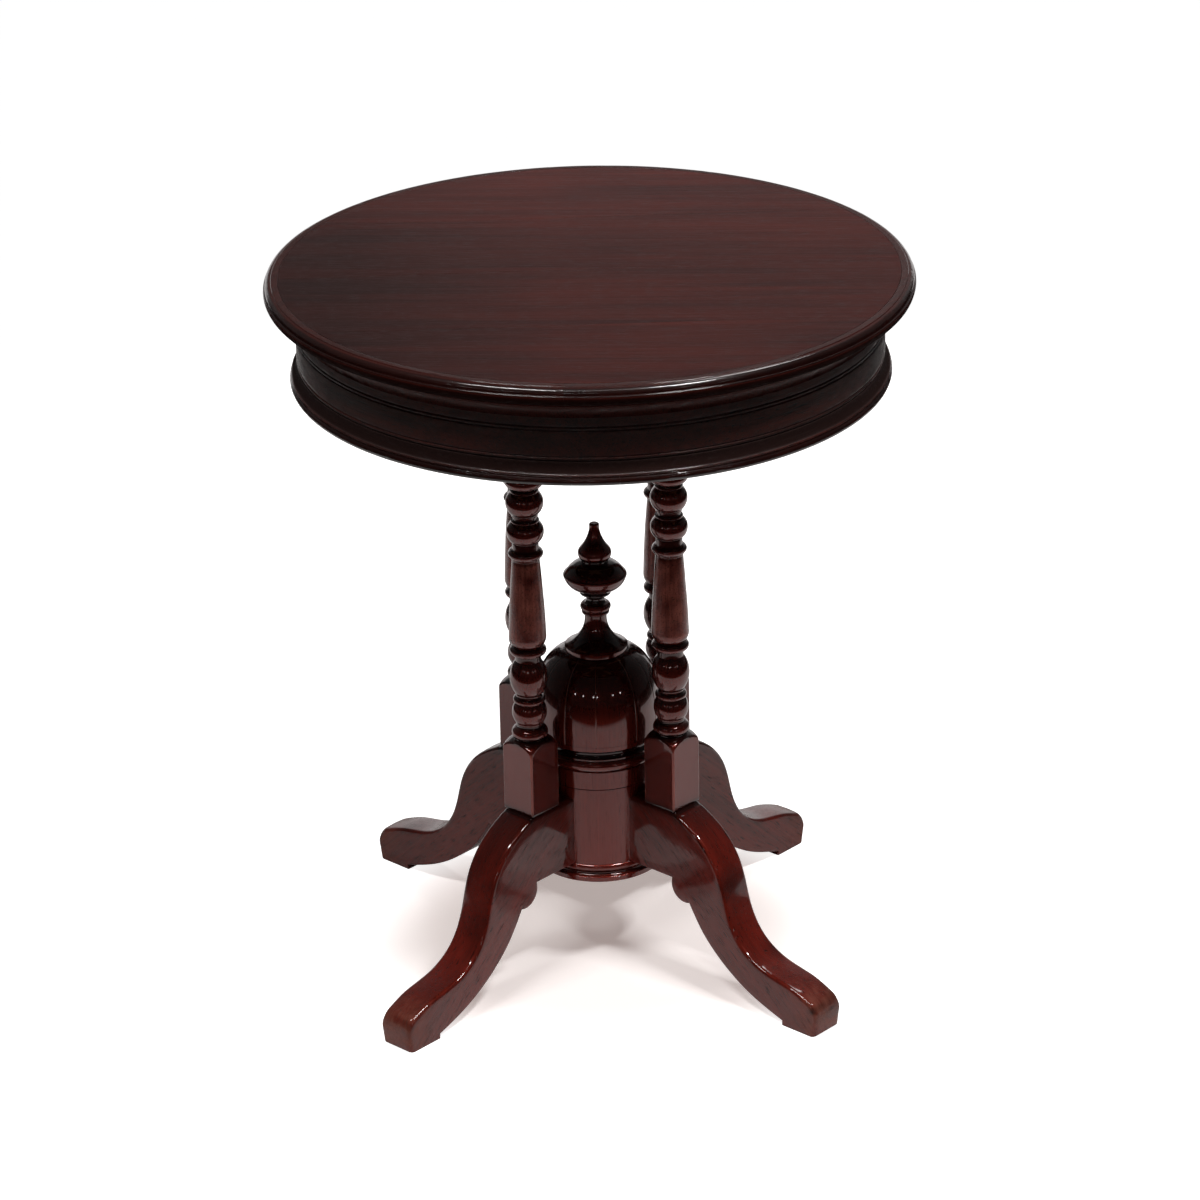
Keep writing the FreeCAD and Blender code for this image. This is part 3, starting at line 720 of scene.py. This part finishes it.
def sweep_section(loop, first, last, shift, drawn_in):
    """Rings of a closed section about +Z, drawn in a little at both ends where the lengths butt.

    With drawn_in 0 the lengths meet full, and closer. shift gives how far each point of the section stands
    inside its true line at an azimuth.
    """
    middle = loop.mean(axis=0)
    onward = np.roll(loop, -1, axis=0) - np.roll(loop, 1, axis=0)
    onward /= np.linalg.norm(onward, axis=1)[:, None]
    outward = np.column_stack([onward[:, 1], -onward[:, 0]])
    area = np.sum(loop[:, 0] * np.roll(loop[:, 1], -1) - np.roll(loop[:, 0], -1) * loop[:, 1])
    if area < 0:
        outward = -outward
    gap = ring_joint_gap if drawn_in else apron_joint_gap
    start, end = first + gap, last - gap
    count = round((last - first) / ring_step)
    between = np.linspace(start + 3 * ring_end_step, end - 3 * ring_end_step, count)
    rings = []
    for azimuth in (start, start + ring_end_step, *between, end - ring_end_step, end):
        drawn = drawn_in if azimuth in (start, end) else 0.0
        turned = math.radians(azimuth)
        inset = np.array([shift(azimuth, i) for i in range(len(loop))])
        out, up = (loop + (middle - loop) * drawn - outward * inset[:, None]).T
        rings.append(np.column_stack([out * math.cos(turned), out * math.sin(turned), up]))
    return rings


def dents(seed, first, last, rows, count, deep, wide):
    """Chance knocks as azimuth, row of the section, depth and half width."""
    chance = np.random.default_rng(seed)
    knocks = []
    for _ in range(count):
        where, row = chance.uniform(first, last), chance.integers(*rows)
        knocks.append((where, row, deep * chance.uniform(0.4, 1.0), wide * chance.uniform(0.5, 1.6)))
    return knocks


def hand_made_shift(loop, knocks, amount, seed, spread):
    """Inward unevenness of a hand-worked moulding, with its knocks."""
    def shift(azimuth, index):
        out, up = loop[index]
        turned = math.radians(azimuth)
        place = (out * math.cos(turned), out * math.sin(turned), up * 6)
        inset = amount * (0.5 + 0.35 * uneven(place, 26, seed) + 0.15 * uneven(place, 5, seed + 3))
        for where, row, deep, wide in knocks:
            away = (azimuth - where) / wide
            if abs(away) < 3:
                inset += deep * math.exp(-away * away - ((index - row) / spread) ** 2)
        return inset
    return shift


def ring_length(loop, azimuths, index, seeds, rows, knocked, amount, spread=1.6, drawn_in=0.003):
    """Rings, points, faces and grain of one length of a ring, uneven and knocked as from the hand.

    seeds are for its knocks, its unevenness and its board. rows are the first and last point of the section
    that a knock can meet, and knocked is how many knocks there are, how deep and how wide.
    """
    first, last = azimuths[index:index + 2]
    knock_seed, shift_seed, board_seed = (seed + index for seed in seeds)
    knocks = dents(knock_seed, first, last, rows, *knocked)
    shift = hand_made_shift(loop, knocks, amount, shift_seed, spread)
    rings = sweep_section(loop, first, last, shift, drawn_in)
    points, faces = skin(rings, cap="ngon")
    # The fibre runs along the middle of the length
    across, along = turned_axes(points[:, 0], points[:, 1], (first + last) / 2)
    grain = np.column_stack([along + board_seed * 777.0, across, points[:, 2] + board_seed * 91.0])
    return rings, points, faces, grain


def edge_wear(rings, arrises, seed):
    """How far the finish is rubbed through along the arrises, in patches."""
    worn = []
    for ring in rings:
        for index, point in enumerate(ring):
            near = max(math.exp(-((index - row) / 1.2) ** 2) for row in arrises)
            patch = max(0.0, 0.3 + uneven(point, 18, seed))
            worn.append(min(1.0, near * patch * 0.55))
    return worn


def make_rim_moulding(index):
    """One length of the top's moulded edge: a flat, a fillet, an ovolo and a thin band below it."""
    place = section_place(boards_radius + glue_line, rim_width, rim_underside, rim_height)
    loop = eased(traced(rim_section_shares, place, 2.4), moulding_arris, closed=True)
    arrises = [nearest_row(loop, place(*shares)) for shares in rim_arris_shares]
    rings, points, faces, grain = ring_length(
        loop, rim_joint_azimuths, index, (31, 0, 0), (arrises[2] - 2, arrises[0] + 2),
        (16, 0.45, 0.35), 0.22)
    # The flat beside the boards is rubbed like them
    on_flat = np.tile(loop[:, 1] > rim_underside + 0.93 * rim_height, len(rings))
    # Painted shade: its lower half is darkened and its lacquer taken off
    under = np.tile(np.clip((rim_underside + 0.52 * rim_height - loop[:, 1]) / 1.5, 0, 1), len(rings))
    wear = np.maximum.reduce([edge_wear(rings, arrises, index), 0.45 * on_flat, 6 * under])
    make_piece("top_edge_moulding_%d" % (index + 1), points, faces, ["rim_moulding_%d" % (index + 1)],
               "gloss_moulding", grain, wear=wear, coarse=0.25 * ~on_flat, hollow=0.8 * under)


def apron_loop():
    """Closed section of the apron, with its flared foot and its scratched grooves."""
    face, foot = apron_radius, apron_foot
    points = list(traced(apron_foot_places, section_place(face, 1, foot, 1)))
    for share_up in groove_place_shares:
        middle = foot + apron_height * share_up
        points += [np.array((face + out, middle + up)) for out, up in (
            (0, -groove_half_mouth), (-groove_depth, -groove_half_floor),
            (-groove_depth, groove_half_floor), (0, groove_half_mouth),
        )]
    head, inner = foot + apron_height, apron_inner_radius
    points += [np.array(corner) for corner in ((face, head), (inner, head), (inner, foot))]
    divided = []
    for here, there in zip(points, points[1:] + points[:1]):
        count = max(1, math.ceil(np.linalg.norm(there - here) / 3.0))
        divided += [here + (there - here) * i / count for i in range(count)]
    return eased(np.array(divided), apron_arris, closed=True)


def make_apron_segment(index):
    """One sawn length of the apron, planed by hand, with pairs of scratched grooves."""
    loop = apron_loop()
    outside = np.flatnonzero(loop[:, 0] > apron_radius - 2)
    _, points, faces, grain = ring_length(
        loop, apron_joint_azimuths, index, (71, 11, 5), outside[[0, -1]], (30, 0.5, 0.4), 0.45, 1.2, 0.0)
    # Painted shade: the flared foot is darkened and its lacquer taken off
    above_foot = points[:, 2] - apron_foot
    foot = np.clip((15 - above_foot) / 5, 0, 1) * np.clip((above_foot - 1.9) / 0.8, 0, 1)
    make_piece("apron_length_%d" % (index + 1), points, faces, ["apron_segment_%d" % (index + 1)],
               "open_pore_apron", grain, wear=6 * foot, hollow=0.5 * foot, coarse=0.5)


def make_cove_moulding(index):
    """One length of the cove under the top, chipped along its lower edge."""
    place = section_place(apron_radius + glue_line, cove_width, cove_foot, cove_height)
    loop = eased(traced(cove_section_shares, place, 2.0), cove_arris, closed=True)
    lower = nearest_row(loop, place(*cove_lower_arris_share))
    _, points, faces, grain = ring_length(
        loop, cove_joint_azimuths, index, (91, 21, 9), (lower - 1, lower + 5), (60, 0.7, 0.5), 0.35)
    make_piece("cove_length_%d" % (index + 1), points, faces, ["cove_moulding_%d" % (index + 1)],
               "gloss_moulding", grain, wear=1.6, coarse=0.8)


def make_bead_moulding(index):
    """One length of the half-round bead under the apron."""
    place = section_place(apron_inner_radius, bead_width, bead_foot, bead_height)
    loop = eased(traced(bead_section_shares, place, 3.0), moulding_arris, closed=True)
    outside = np.flatnonzero(loop[:, 0] > apron_radius + 3)
    rings, points, faces, grain = ring_length(
        loop, bead_joint_azimuths, index, (51, 31, 13), outside[[0, -1]], (14, 0.5, 0.4), 0.25)
    wear = edge_wear(rings, [outside[len(outside) // 2]], index + 60)
    make_piece("bead_length_%d" % (index + 1), points, faces, ["bead_moulding_%d" % (index + 1)],
               "gloss_moulding", grain, wear=wear, coarse=0.25)


# Columns


def square_reach(angle, half, corner):
    """Distance from the middle of a square with rounded corners to its side, at an angle."""
    folded = abs((angle + math.pi / 4) % (math.pi / 2) - math.pi / 4)
    if half * math.tan(folded) <= half - corner:
        return half / math.cos(folded)
    dot = (half - corner) * (math.cos(folded) + math.sin(folded))
    return dot + math.sqrt(dot * dot - 2 * (half - corner) ** 2 + corner ** 2)


def column_angles():
    """Angles round a column, closer together at the corners of its blocks."""
    side = np.degrees(np.arctan2(np.linspace(-17.1, 17.1, 19), column_half))
    corner = np.array((42.5, 43.1, 43.7, 44.35, 45.0, 45.65, 46.3, 46.9, 47.5))
    quarter = np.concatenate([side, corner])
    return np.radians(np.concatenate([quarter + 90 * turn for turn in range(4)]))


def column_levels():
    """Height, turned radius and whether the square block is there, from a column's foot to its head."""
    shoulder = arc_points(*column_shoulder_places)
    turned_head = turned_foot + turned_height
    # Further out than the block's corners, which it therefore leaves whole
    beyond = 27.5
    foot_levels = (column_foot, column_foot_arris_top, 184.9, 187, 189, 192, 202, 212, 222, 232, 242, 247)
    head_levels = (557, 565, 580, 600, 620, 636, 645.1, column_head_arris_foot, column_head)
    shaft = traced(
        column_turning_shares[1:-1], lambda up, out: (column_half * out, turned_foot + turned_height * up))
    levels = [(up, beyond, True) for up in foot_levels]
    levels += [(turned_foot + up, out, True) for out, up in shoulder]
    levels += [(up, out, False) for out, up in eased(shaft, 0.25)]
    levels += [(turned_head - up, out, True) for out, up in shoulder[::-1]]
    levels += [(up, beyond, True) for up in head_levels]
    return levels


def make_column(quadrant, azimuth):
    """A column in one piece: square block, turned length and square block."""
    angles = column_angles()
    ends = {
        column_foot: column_end_half, column_foot_arris_top: column_end_arris_half,
        column_head_arris_foot: column_end_arris_half, column_head: column_end_half,
    }
    squares = {half: np.array([square_reach(angle, half, column_arris) for angle in angles])
               for half in (column_half, column_end_half, column_end_arris_half)}
    slip = np.random.default_rng(int(azimuth)).uniform(-0.25, 0.25, 12)
    rings = []
    for up, out, block in column_levels():
        if block:
            # The smaller of square and round, with a soft arris where they meet
            square, soft = squares[ends.get(up, column_half)], 0.22
            reach = -soft * np.log(np.exp(-(square - 14) / soft) + np.exp(-(out - 14) / soft)) + 14
        else:
            slow = np.interp(up, np.linspace(turned_foot, turned_foot + turned_height, 12), slip)
            reach = np.full(len(angles), out + slow * 0.8 - 0.2)
        rings.append(level_ring(reach, up, angles))
    # A small ring near the axis closes each end
    closing = np.array((0.05, 0.05, 1.0))
    rings = np.array([rings[0] * closing, *rings, rings[-1] * closing])
    local, faces = skin(rings, cap="ngon")
    grain = np.column_stack([local[:, 2], local[:, 0] + azimuth, local[:, 1] - azimuth * 2])
    arris = np.hypot(local[:, 0], local[:, 1]) > 25.7
    risen = (local[:, 2] - turned_foot) / turned_height
    # The long cones were left coarse and took little stain; their pale worn colour is partly a painted
    # sheen
    coarse = np.clip((risen - 0.36) / 0.02, 0, 1) * np.clip((0.645 - risen) / 0.02, 0, 1)
    wear = [
        (0.5 if edge else 0.8 * cone) * max(0.0, 0.6 + 0.8 * uneven(point, 14, azimuth / 45))
        for edge, cone, point in zip(arris, coarse, local)
    ]
    reaches, levels = np.hypot(rings[..., 0], rings[..., 1]).max(axis=1), rings[:, 0, 2]
    # Painted shade: the block darkens over its lowest 6 mm, where it meets the leg
    shade_at_leg = 0.85 * np.clip((190 - levels) / 5, 0, 1)
    hollow = np.maximum.reduce([recess_dust_and_shade(reaches, levels), 0.5 * upward_dust_and_shade(reaches, levels), shade_at_leg])
    points = turned_about(local + np.array((column_circle_radius, 0, 0)), azimuth)
    make_piece(quadrant + "_column_turned", points, faces, ["column_" + quadrant], "gloss_turning", grain,
               wear=wear, hollow=np.repeat(hollow, len(angles)), coarse=0.7 * coarse)


# Legs


def leg_sides():
    """Matching points along the upper and lower lines of a leg, as distance out and height."""
    length = leg_reach - leg_seat_distance

    def place(out, up):
        return np.array((leg_seat_distance + length * out, column_foot * up))

    seat = np.array((leg_seat_distance, column_foot))
    block_face = np.array((column_circle_radius + column_half, column_foot))
    upper = smooth_through([block_face, *[place(*row) for row in leg_top_shares]], 14)
    toe = arc_points(upper[-1][-1], place(*leg_toe_shares[0]), place(*leg_toe_shares[1]))
    root = np.array((leg_seat_distance, leg_root_underside))
    lobe_end = place(leg_underside_shares[0][0] - leg_lobe_width_share, 0)
    lobe_end[1] = leg_root_underside
    lobe = arc_points(lobe_end, place(*leg_lobe_middle_shares), place(*leg_underside_shares[0]))
    sole_end = place(leg_sole_end_share, 0)
    heel = sole_end - np.array((leg_foot_pad, 0))
    heel_step = heel + np.array((0, leg_foot_step))
    lower = smooth_through([*[place(*row) for row in leg_underside_shares], heel_step], 14)
    last_top = evenly(np.concatenate([upper[6], toe]), 60)
    pairs = [
        ((seat, block_face), (root, lobe_end), 10),
        (np.concatenate([upper[0], upper[1]]), lobe, 30),
        *zip(upper[2:6], lower, (16, 16, 16, 18)),
        (last_top[:3], (heel_step, heel), 2),
        (last_top[2:], (heel, sole_end), 56),
    ]
    tops, bottoms = [], []
    for top, bottom, count in pairs:
        tops += list(evenly(top, count)[1 if tops else 0:])
        bottoms += list(evenly(bottom, count)[1 if bottoms else 0:])
    return np.array(tops), np.array(bottoms)


def leg_loop(height, arris=leg_upper_arris):
    """Section of a leg across its thickness: rounder at its two upper arrises than below."""
    half = column_half - 0.05
    upper, lower, crown = min(arris, height / 3), min(leg_lower_arris, height / 3), leg_crown
    points = [(0.0, 0.0), (half * 0.5, 0.0)]
    for i in range(5):
        t = math.radians(-90 + 22.5 * i)
        points.append((half - lower + lower * math.cos(t), lower + lower * math.sin(t)))
    for i in range(1, 8):
        points.append((half, lower + (height - upper - lower) * i / 8))
    for i in range(8):
        t = math.radians(90 * i / 7)
        points.append((half - upper + upper * math.cos(t), height - upper + upper * math.sin(t) - crown))
    points += [(half * 0.6, height - crown * 0.6), (half * 0.3, height - crown * 0.15), (0.0, height)]
    points = np.array(points)
    mirror = points[1:-1][::-1] * np.array((-1, 1))
    return np.concatenate([points, mirror])


def make_leg(quadrant, azimuth):
    """A sabre leg, sawn to its outline and rounded by hand along its upper arrises."""
    tops, bottoms = leg_sides()
    seed = azimuth / 45
    block_face = column_circle_radius + column_half
    rings = []
    for top, bottom in zip(tops, bottoms):
        height = np.linalg.norm(top - bottom)
        rise = (top - bottom) / height
        # The upper arrises grow rounder towards the toe
        loop = leg_loop(height, leg_upper_arris + 2.0 * min(1.0, max(0.0, (top[0] - 262) / 26)))
        ring = np.column_stack([
            bottom[0] + rise[0] * loop[:, 1], loop[:, 0], bottom[1] + rise[1] * loop[:, 1],
        ])
        for point in ring:
            point[1] *= 1 - 0.008 * (0.5 + 0.5 * uneven(point, 34, seed))
        # The upright arrises of the toe are rounded over, and its lowest edge a little
        to_end = np.linalg.norm(bottoms[-1] - bottom)
        if to_end < toe_arris:
            drawn = toe_arris - math.sqrt(toe_arris ** 2 - (toe_arris - to_end) ** 2)
            ring[:, 1] *= 1 - drawn / column_half
            ring[:, 2] += 0.45 * drawn * np.clip(1 - ring[:, 2] / 8, 0, 1)
        # A shallow dip runs along the joint with the column's block
        dip = dip_depth * math.exp(-((top[0] - block_face - 1.6) / 1.5) ** 2)
        ring[:, 2] -= dip * np.clip(1 - (height - loop[:, 1]) / 6, 0, 1)
        ring[:, 2] = np.maximum(ring[:, 2], 0.0)
        rings.append(ring)
    local, faces = skin(rings)
    along, across = turned_axes(local[:, 0], local[:, 2], -42)
    grain = np.column_stack([along + azimuth * 3, across, local[:, 1] + azimuth])
    toe = np.clip((local[:, 0] - 250) / 42, 0, 1) ** 1.5
    wear = [t * min(1.0, max(0.0, 0.85 + 1.0 * uneven(point, 9, seed))) for t, point in zip(toe, local)]
    # Dirt lies on the toe's upper edge, most on the right front one
    dirty = 0.8 if quadrant == "front_right" else 0.25
    dirt = np.clip((local[:, 0] - 280) / 8, 0, 1) * np.clip(1 - np.abs(local[:, 2] - toe_top) / 14, 0, 1)
    # Polish and painted shade darken the top near the column's block and in the dip along its joint
    from_block = local[:, 0] - block_face
    polish_and_shade = 0.6 * np.clip(1 - from_block / 42, 0, 1)
    polish_and_shade += 0.9 * np.clip(1 - np.abs(from_block - 1.5) / 2.5, 0, 1)
    on_top = np.tile(np.clip((leg_loop(100.0)[:, 1] - 92) / 4, 0, 1), len(rings))
    # The top is also darker in chance patches along it
    hollow = [
        max(dirty * d * max(0.0, 0.35 + 1.6 * uneven(point, 8, seed + 2)),
            top * min(0.9, max(p, 0.9 * max(0.0, uneven(point, 30, seed + 5)))))
        for d, p, top, point in zip(dirt, polish_and_shade, on_top, local)
    ]
    make_piece(quadrant + "_sabre_leg", turned_about(local, azimuth), faces, ["leg_" + quadrant],
               "gloss_leg", grain, wear=wear, hollow=hollow)


# Newel


def make_turned_piece(name, profile, node, count, seed):
    """A piece turned about the table's axis."""
    angles = np.arange(count) * math.tau / count
    points, faces = skin([level_ring(out, up, angles) for out, up in profile], cap="ngon")
    grain = np.column_stack([points[:, 2] + seed * 331, points[:, 0] + seed * 57, points[:, 1]])
    # Dust and painted shade darken the recesses, but not the closed ends
    hollow = np.repeat(recess_dust_and_shade(profile[:, 0], profile[:, 1]), count)
    hollow[:2 * count] = 0
    hollow[-2 * count:] = 0
    make_piece(name, points, faces, [node], "gloss_turning", grain, hollow=hollow)


def make_newel():
    """The newel, the moulded cap under it and the finial on its dome."""
    newel = turning(newel_turning_shares, newel_radius, leg_root_underside, newel_top - leg_root_underside)
    make_turned_piece("newel_turned", newel, "newel", 160, 1)
    base = turning(base_turning_shares, base_radius, base_foot, leg_root_underside - base_foot)
    make_turned_piece("newel_cap_turned", base, "newel_base", 160, 2)
    finial = turning(finial_turning_shares, finial_radius, newel_top + dome_height, finial_height, 0.2)
    make_turned_piece("finial_turned", finial, "finial", 112, 3)


def make_dome():
    """The dome, made of staves whose joints stand out as thin paler lines, partly a painted highlight."""
    seams = sorted((azimuth - 90) % 360 for azimuth in dome_seam_azimuths)
    spread = (-1.3, -0.75, -0.45, -0.2, 0.0, 0.2, 0.45, 0.75, 1.3)
    degrees = {round(azimuth + offset, 3) % 360 for azimuth in seams for offset in spread}
    degrees |= {float(azimuth) for azimuth in range(0, 360, 2)
                if min(abs((azimuth - seam + 180) % 360 - 180) for seam in seams) > 2.0}
    degrees = np.array(sorted(degrees))
    apart = np.min(np.abs((degrees[:, None] - np.array(seams)[None] + 180) % 360 - 180), axis=1)
    mark = np.exp(-(apart / 0.42) ** 2)
    # The pale joint lines, partly a painted highlight, show least at the front
    plain = 0.25 + 0.45 * np.abs(np.cos(np.radians(degrees)))
    profile = turning(dome_turning_shares, dome_radius, newel_top, dome_height)
    angles = np.radians(degrees)
    rings = [level_ring(out - 0.35 * mark * min(1.0, out / 20), up, angles) for out, up in profile]
    points, faces = skin(rings, cap="ngon")
    # Each stave is a board of its own
    stave = np.tile(np.searchsorted(seams, degrees) * 37.0, len(profile))
    grain = np.column_stack([points[:, 2], points[:, 0] + stave, points[:, 1] - stave])
    # The joints are coloured paler, partly as a painted highlight along them
    seam = np.tile(mark * plain, len(profile))
    # Painted shade: the dome darkens towards its top
    hollow = 0.6 * np.clip((points[:, 2] - newel_top - 26) / 26, 0, 1)
    make_piece("dome_staved", points, faces, ["newel_dome"], "gloss_turning", grain,
               seam=seam, hollow=hollow)


# Hidden frame


def dress_frame_parts():
    """Bearers, glue blocks and screws keep their solids, with softened arrises and their own finishes."""
    for node, slot, reach in (
        ("bearer_lower", "bare_secondary_wood", 0.8), ("bearer_upper", "bare_secondary_wood", 0.8),
        ("apron_glue_blocks", "bare_secondary_wood", 0.6),
        ("top_screws", "screw_steel", 0.12), ("newel_base_screws", "screw_steel", 0.12),
    ):
        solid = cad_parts[node]
        weld = solid.modifiers.new("weld", "WELD")
        weld.merge_threshold = 0.01 * mm
        bevel = solid.modifiers.new("arris", "BEVEL")
        bevel.width = reach * mm
        bevel.segments = 3
        bevel.limit_method = "ANGLE"
        bevel.angle_limit = math.radians(35)
        for held in solid.material_slots:
            held.material = finishes[slot]
        if not solid.material_slots:
            solid.data.materials.append(finishes[slot])


for board_index in range(board_count):
    make_top_board(board_index)
for ring_index in range(4):
    make_rim_moulding(ring_index)
    make_apron_segment(ring_index)
    make_cove_moulding(ring_index)
    make_bead_moulding(ring_index)
for quadrant_name, quadrant_azimuth in quadrants.items():
    make_column(quadrant_name, quadrant_azimuth)
    make_leg(quadrant_name, quadrant_azimuth)
make_newel()
make_dome()
dress_frame_parts()


# Studio


def sheet(name, corners, finish):
    """A flat sheet with four corners."""
    mesh = bpy.data.meshes.new(name)
    mesh.from_pydata(corners, [], [(0, 1, 2, 3)])
    mesh.materials.append(finish)
    return placed(name, mesh)


def seen_straight(tree, path):
    """1 for what the eye sees straight or through something clear, and 0 for light and reflections."""
    return sums(tree, "MAXIMUM", path.outputs["Is Camera Ray"], path.outputs["Is Transmission Ray"])


def make_floor():
    """A white sheet on a floor painted dark as shade. To the eye it is all white but for the shadow close
    to the table, as a painted glow whitens the shadows further out.
    """
    finish, tree = new_finish("glowing_sheet_on_painted_dark_floor")
    flat = add(tree, "ShaderNodeTexCoord").outputs["Object"]
    away = add(tree, "ShaderNodeVectorMath", {0: flat}, operation="LENGTH").outputs["Value"]
    # Painted light: to the eye the sheet glows, faint and pink by the table and white further out
    glow = add(tree, "ShaderNodeMapRange", {
        "Value": away, "From Min": 0.14, "From Max": 0.28, "To Min": 0.34, "To Max": 1.0,
    }, interpolation_type="SMOOTHSTEP").outputs["Result"]
    seen = seen_straight(tree, add(tree, "ShaderNodeLightPath"))
    # The sheet lies further back than forward
    from_middle = add(tree, "ShaderNodeVectorMath", {0: flat, 1: (0.0, 0.50, 0.0)}, operation="DISTANCE")
    # Painted shade: beyond the sheet the floor is dark to light and reflections, white to the eye
    beyond = share(tree, from_middle.outputs["Value"], 1.21, 1.31)
    shown(tree, add(tree, "ShaderNodeBsdfPrincipled", {
        "Base Color": blend(tree, beyond, linear("#eeeae8"), linear("#1c1a19")),
        "Roughness": 0.9, "Specular IOR Level": 0.0,
        # The pink near the table paints red light thrown from it, and the full glow whitens shadows further
        # out
        "Emission Color": blend(tree, glow, linear("#ffe2d8"), linear("#ffffff")),
        "Emission Strength": sums(tree, "MULTIPLY", seen, glow),
    }))
    reach = 40.0
    corners = [(-reach, -reach, 0), (reach, -reach, 0), (reach, reach, 0), (-reach, reach, 0)]
    floor = sheet("studio_floor", corners, finish)


def make_world():
    """A white room to the eye, dark to light and to reflections, a little less so behind the table."""
    world = bpy.data.worlds.new("studio_room")
    bpy.context.scene.world = world
    world.use_nodes = True
    tree = world.node_tree
    tree.nodes.clear()
    direction = add(tree, "ShaderNodeTexCoord").outputs["Generated"]
    back = add(tree, "ShaderNodeSeparateXYZ", {0: direction}).outputs["Y"]
    path = add(tree, "ShaderNodeLightPath")
    mirrored = share(tree, back, -0.3, 0.6, 0.025, 0.08)
    around = add(tree, "ShaderNodeMix", {
        0: path.outputs["Is Glossy Ray"], 2: 0.01, 3: mirrored,
    }, data_type="FLOAT")
    light = add(tree, "ShaderNodeMix", {
        0: seen_straight(tree, path), 2: around.outputs[0], 3: 1.0,
    }, data_type="FLOAT")
    background = add(tree, "ShaderNodeBackground", {"Color": (1, 1, 1, 1), "Strength": light.outputs[0]})
    shown(tree, background, "ShaderNodeOutputWorld")


def make_cards():
    """A white backdrop and a dim card above it, behind the table, which only reflections meet."""
    for name, left, right, low, high, strength in (
        ("backdrop", -1.3, 1.3, 0.0, 1.05, 0.78), ("dim_card", -0.20, 1.8, 1.05, 1.85, 0.20),
    ):
        back = 1.9
        finish, tree = new_finish(name)
        shown(tree, add(tree, "ShaderNodeEmission", {"Color": linear("#fffafa"), "Strength": strength}))
        corners = [(left, back, low), (right, back, low), (right, back, high), (left, back, high)]
        card = sheet(name, corners, finish)
        for ray in ("camera", "diffuse", "transmission", "volume_scatter", "shadow"):
            setattr(card, "visible_" + ray, False)


def add_lamp(name, place, aim, width, height, power):
    """An oblong soft lamp that points at a place."""
    data = bpy.data.lights.new(name, "AREA")
    data.shape = "RECTANGLE"
    data.size, data.size_y, data.energy = width, height, power
    lamp = placed(name, data)
    lamp.location = place
    lamp.rotation_euler = (Vector(aim) - Vector(place)).to_track_quat("-Z", "Y").to_euler()


def make_lamps():
    """High lamps in front of the table, a weak one behind it, and small far ones for points of light."""
    add_lamp("right_lamp", (1.56, -1.64, 4.5), (0, 0, 0.2), 1.20, 0.28, 130)
    add_lamp("left_lamp", (-1.50, -1.70, 4.5), (0, 0, 0.2), 1.80, 0.35, 97)
    add_lamp("front_lamp", (0.05, -2.30, 4.5), (0, 0, 0.2), 1.70, 0.10, 8)
    add_lamp("back_lamp", (0.80, 1.20, 2.8), (0, 0, 0.4), 0.60, 0.60, 11)
    for index, turn in enumerate((-45, -29, -9, -3, 28, 43)):
        turn = math.radians(turn)
        place = (3.0 * math.sin(turn), -3.0 * math.cos(turn), 1.2)
        add_lamp("far_lamp_%d" % (index + 1), place, (0, 0, 0.3), 0.10, 0.10, 0.6)


make_floor()
make_world()
make_cards()
make_lamps()
bpy.context.scene.view_settings.view_transform = "Standard"
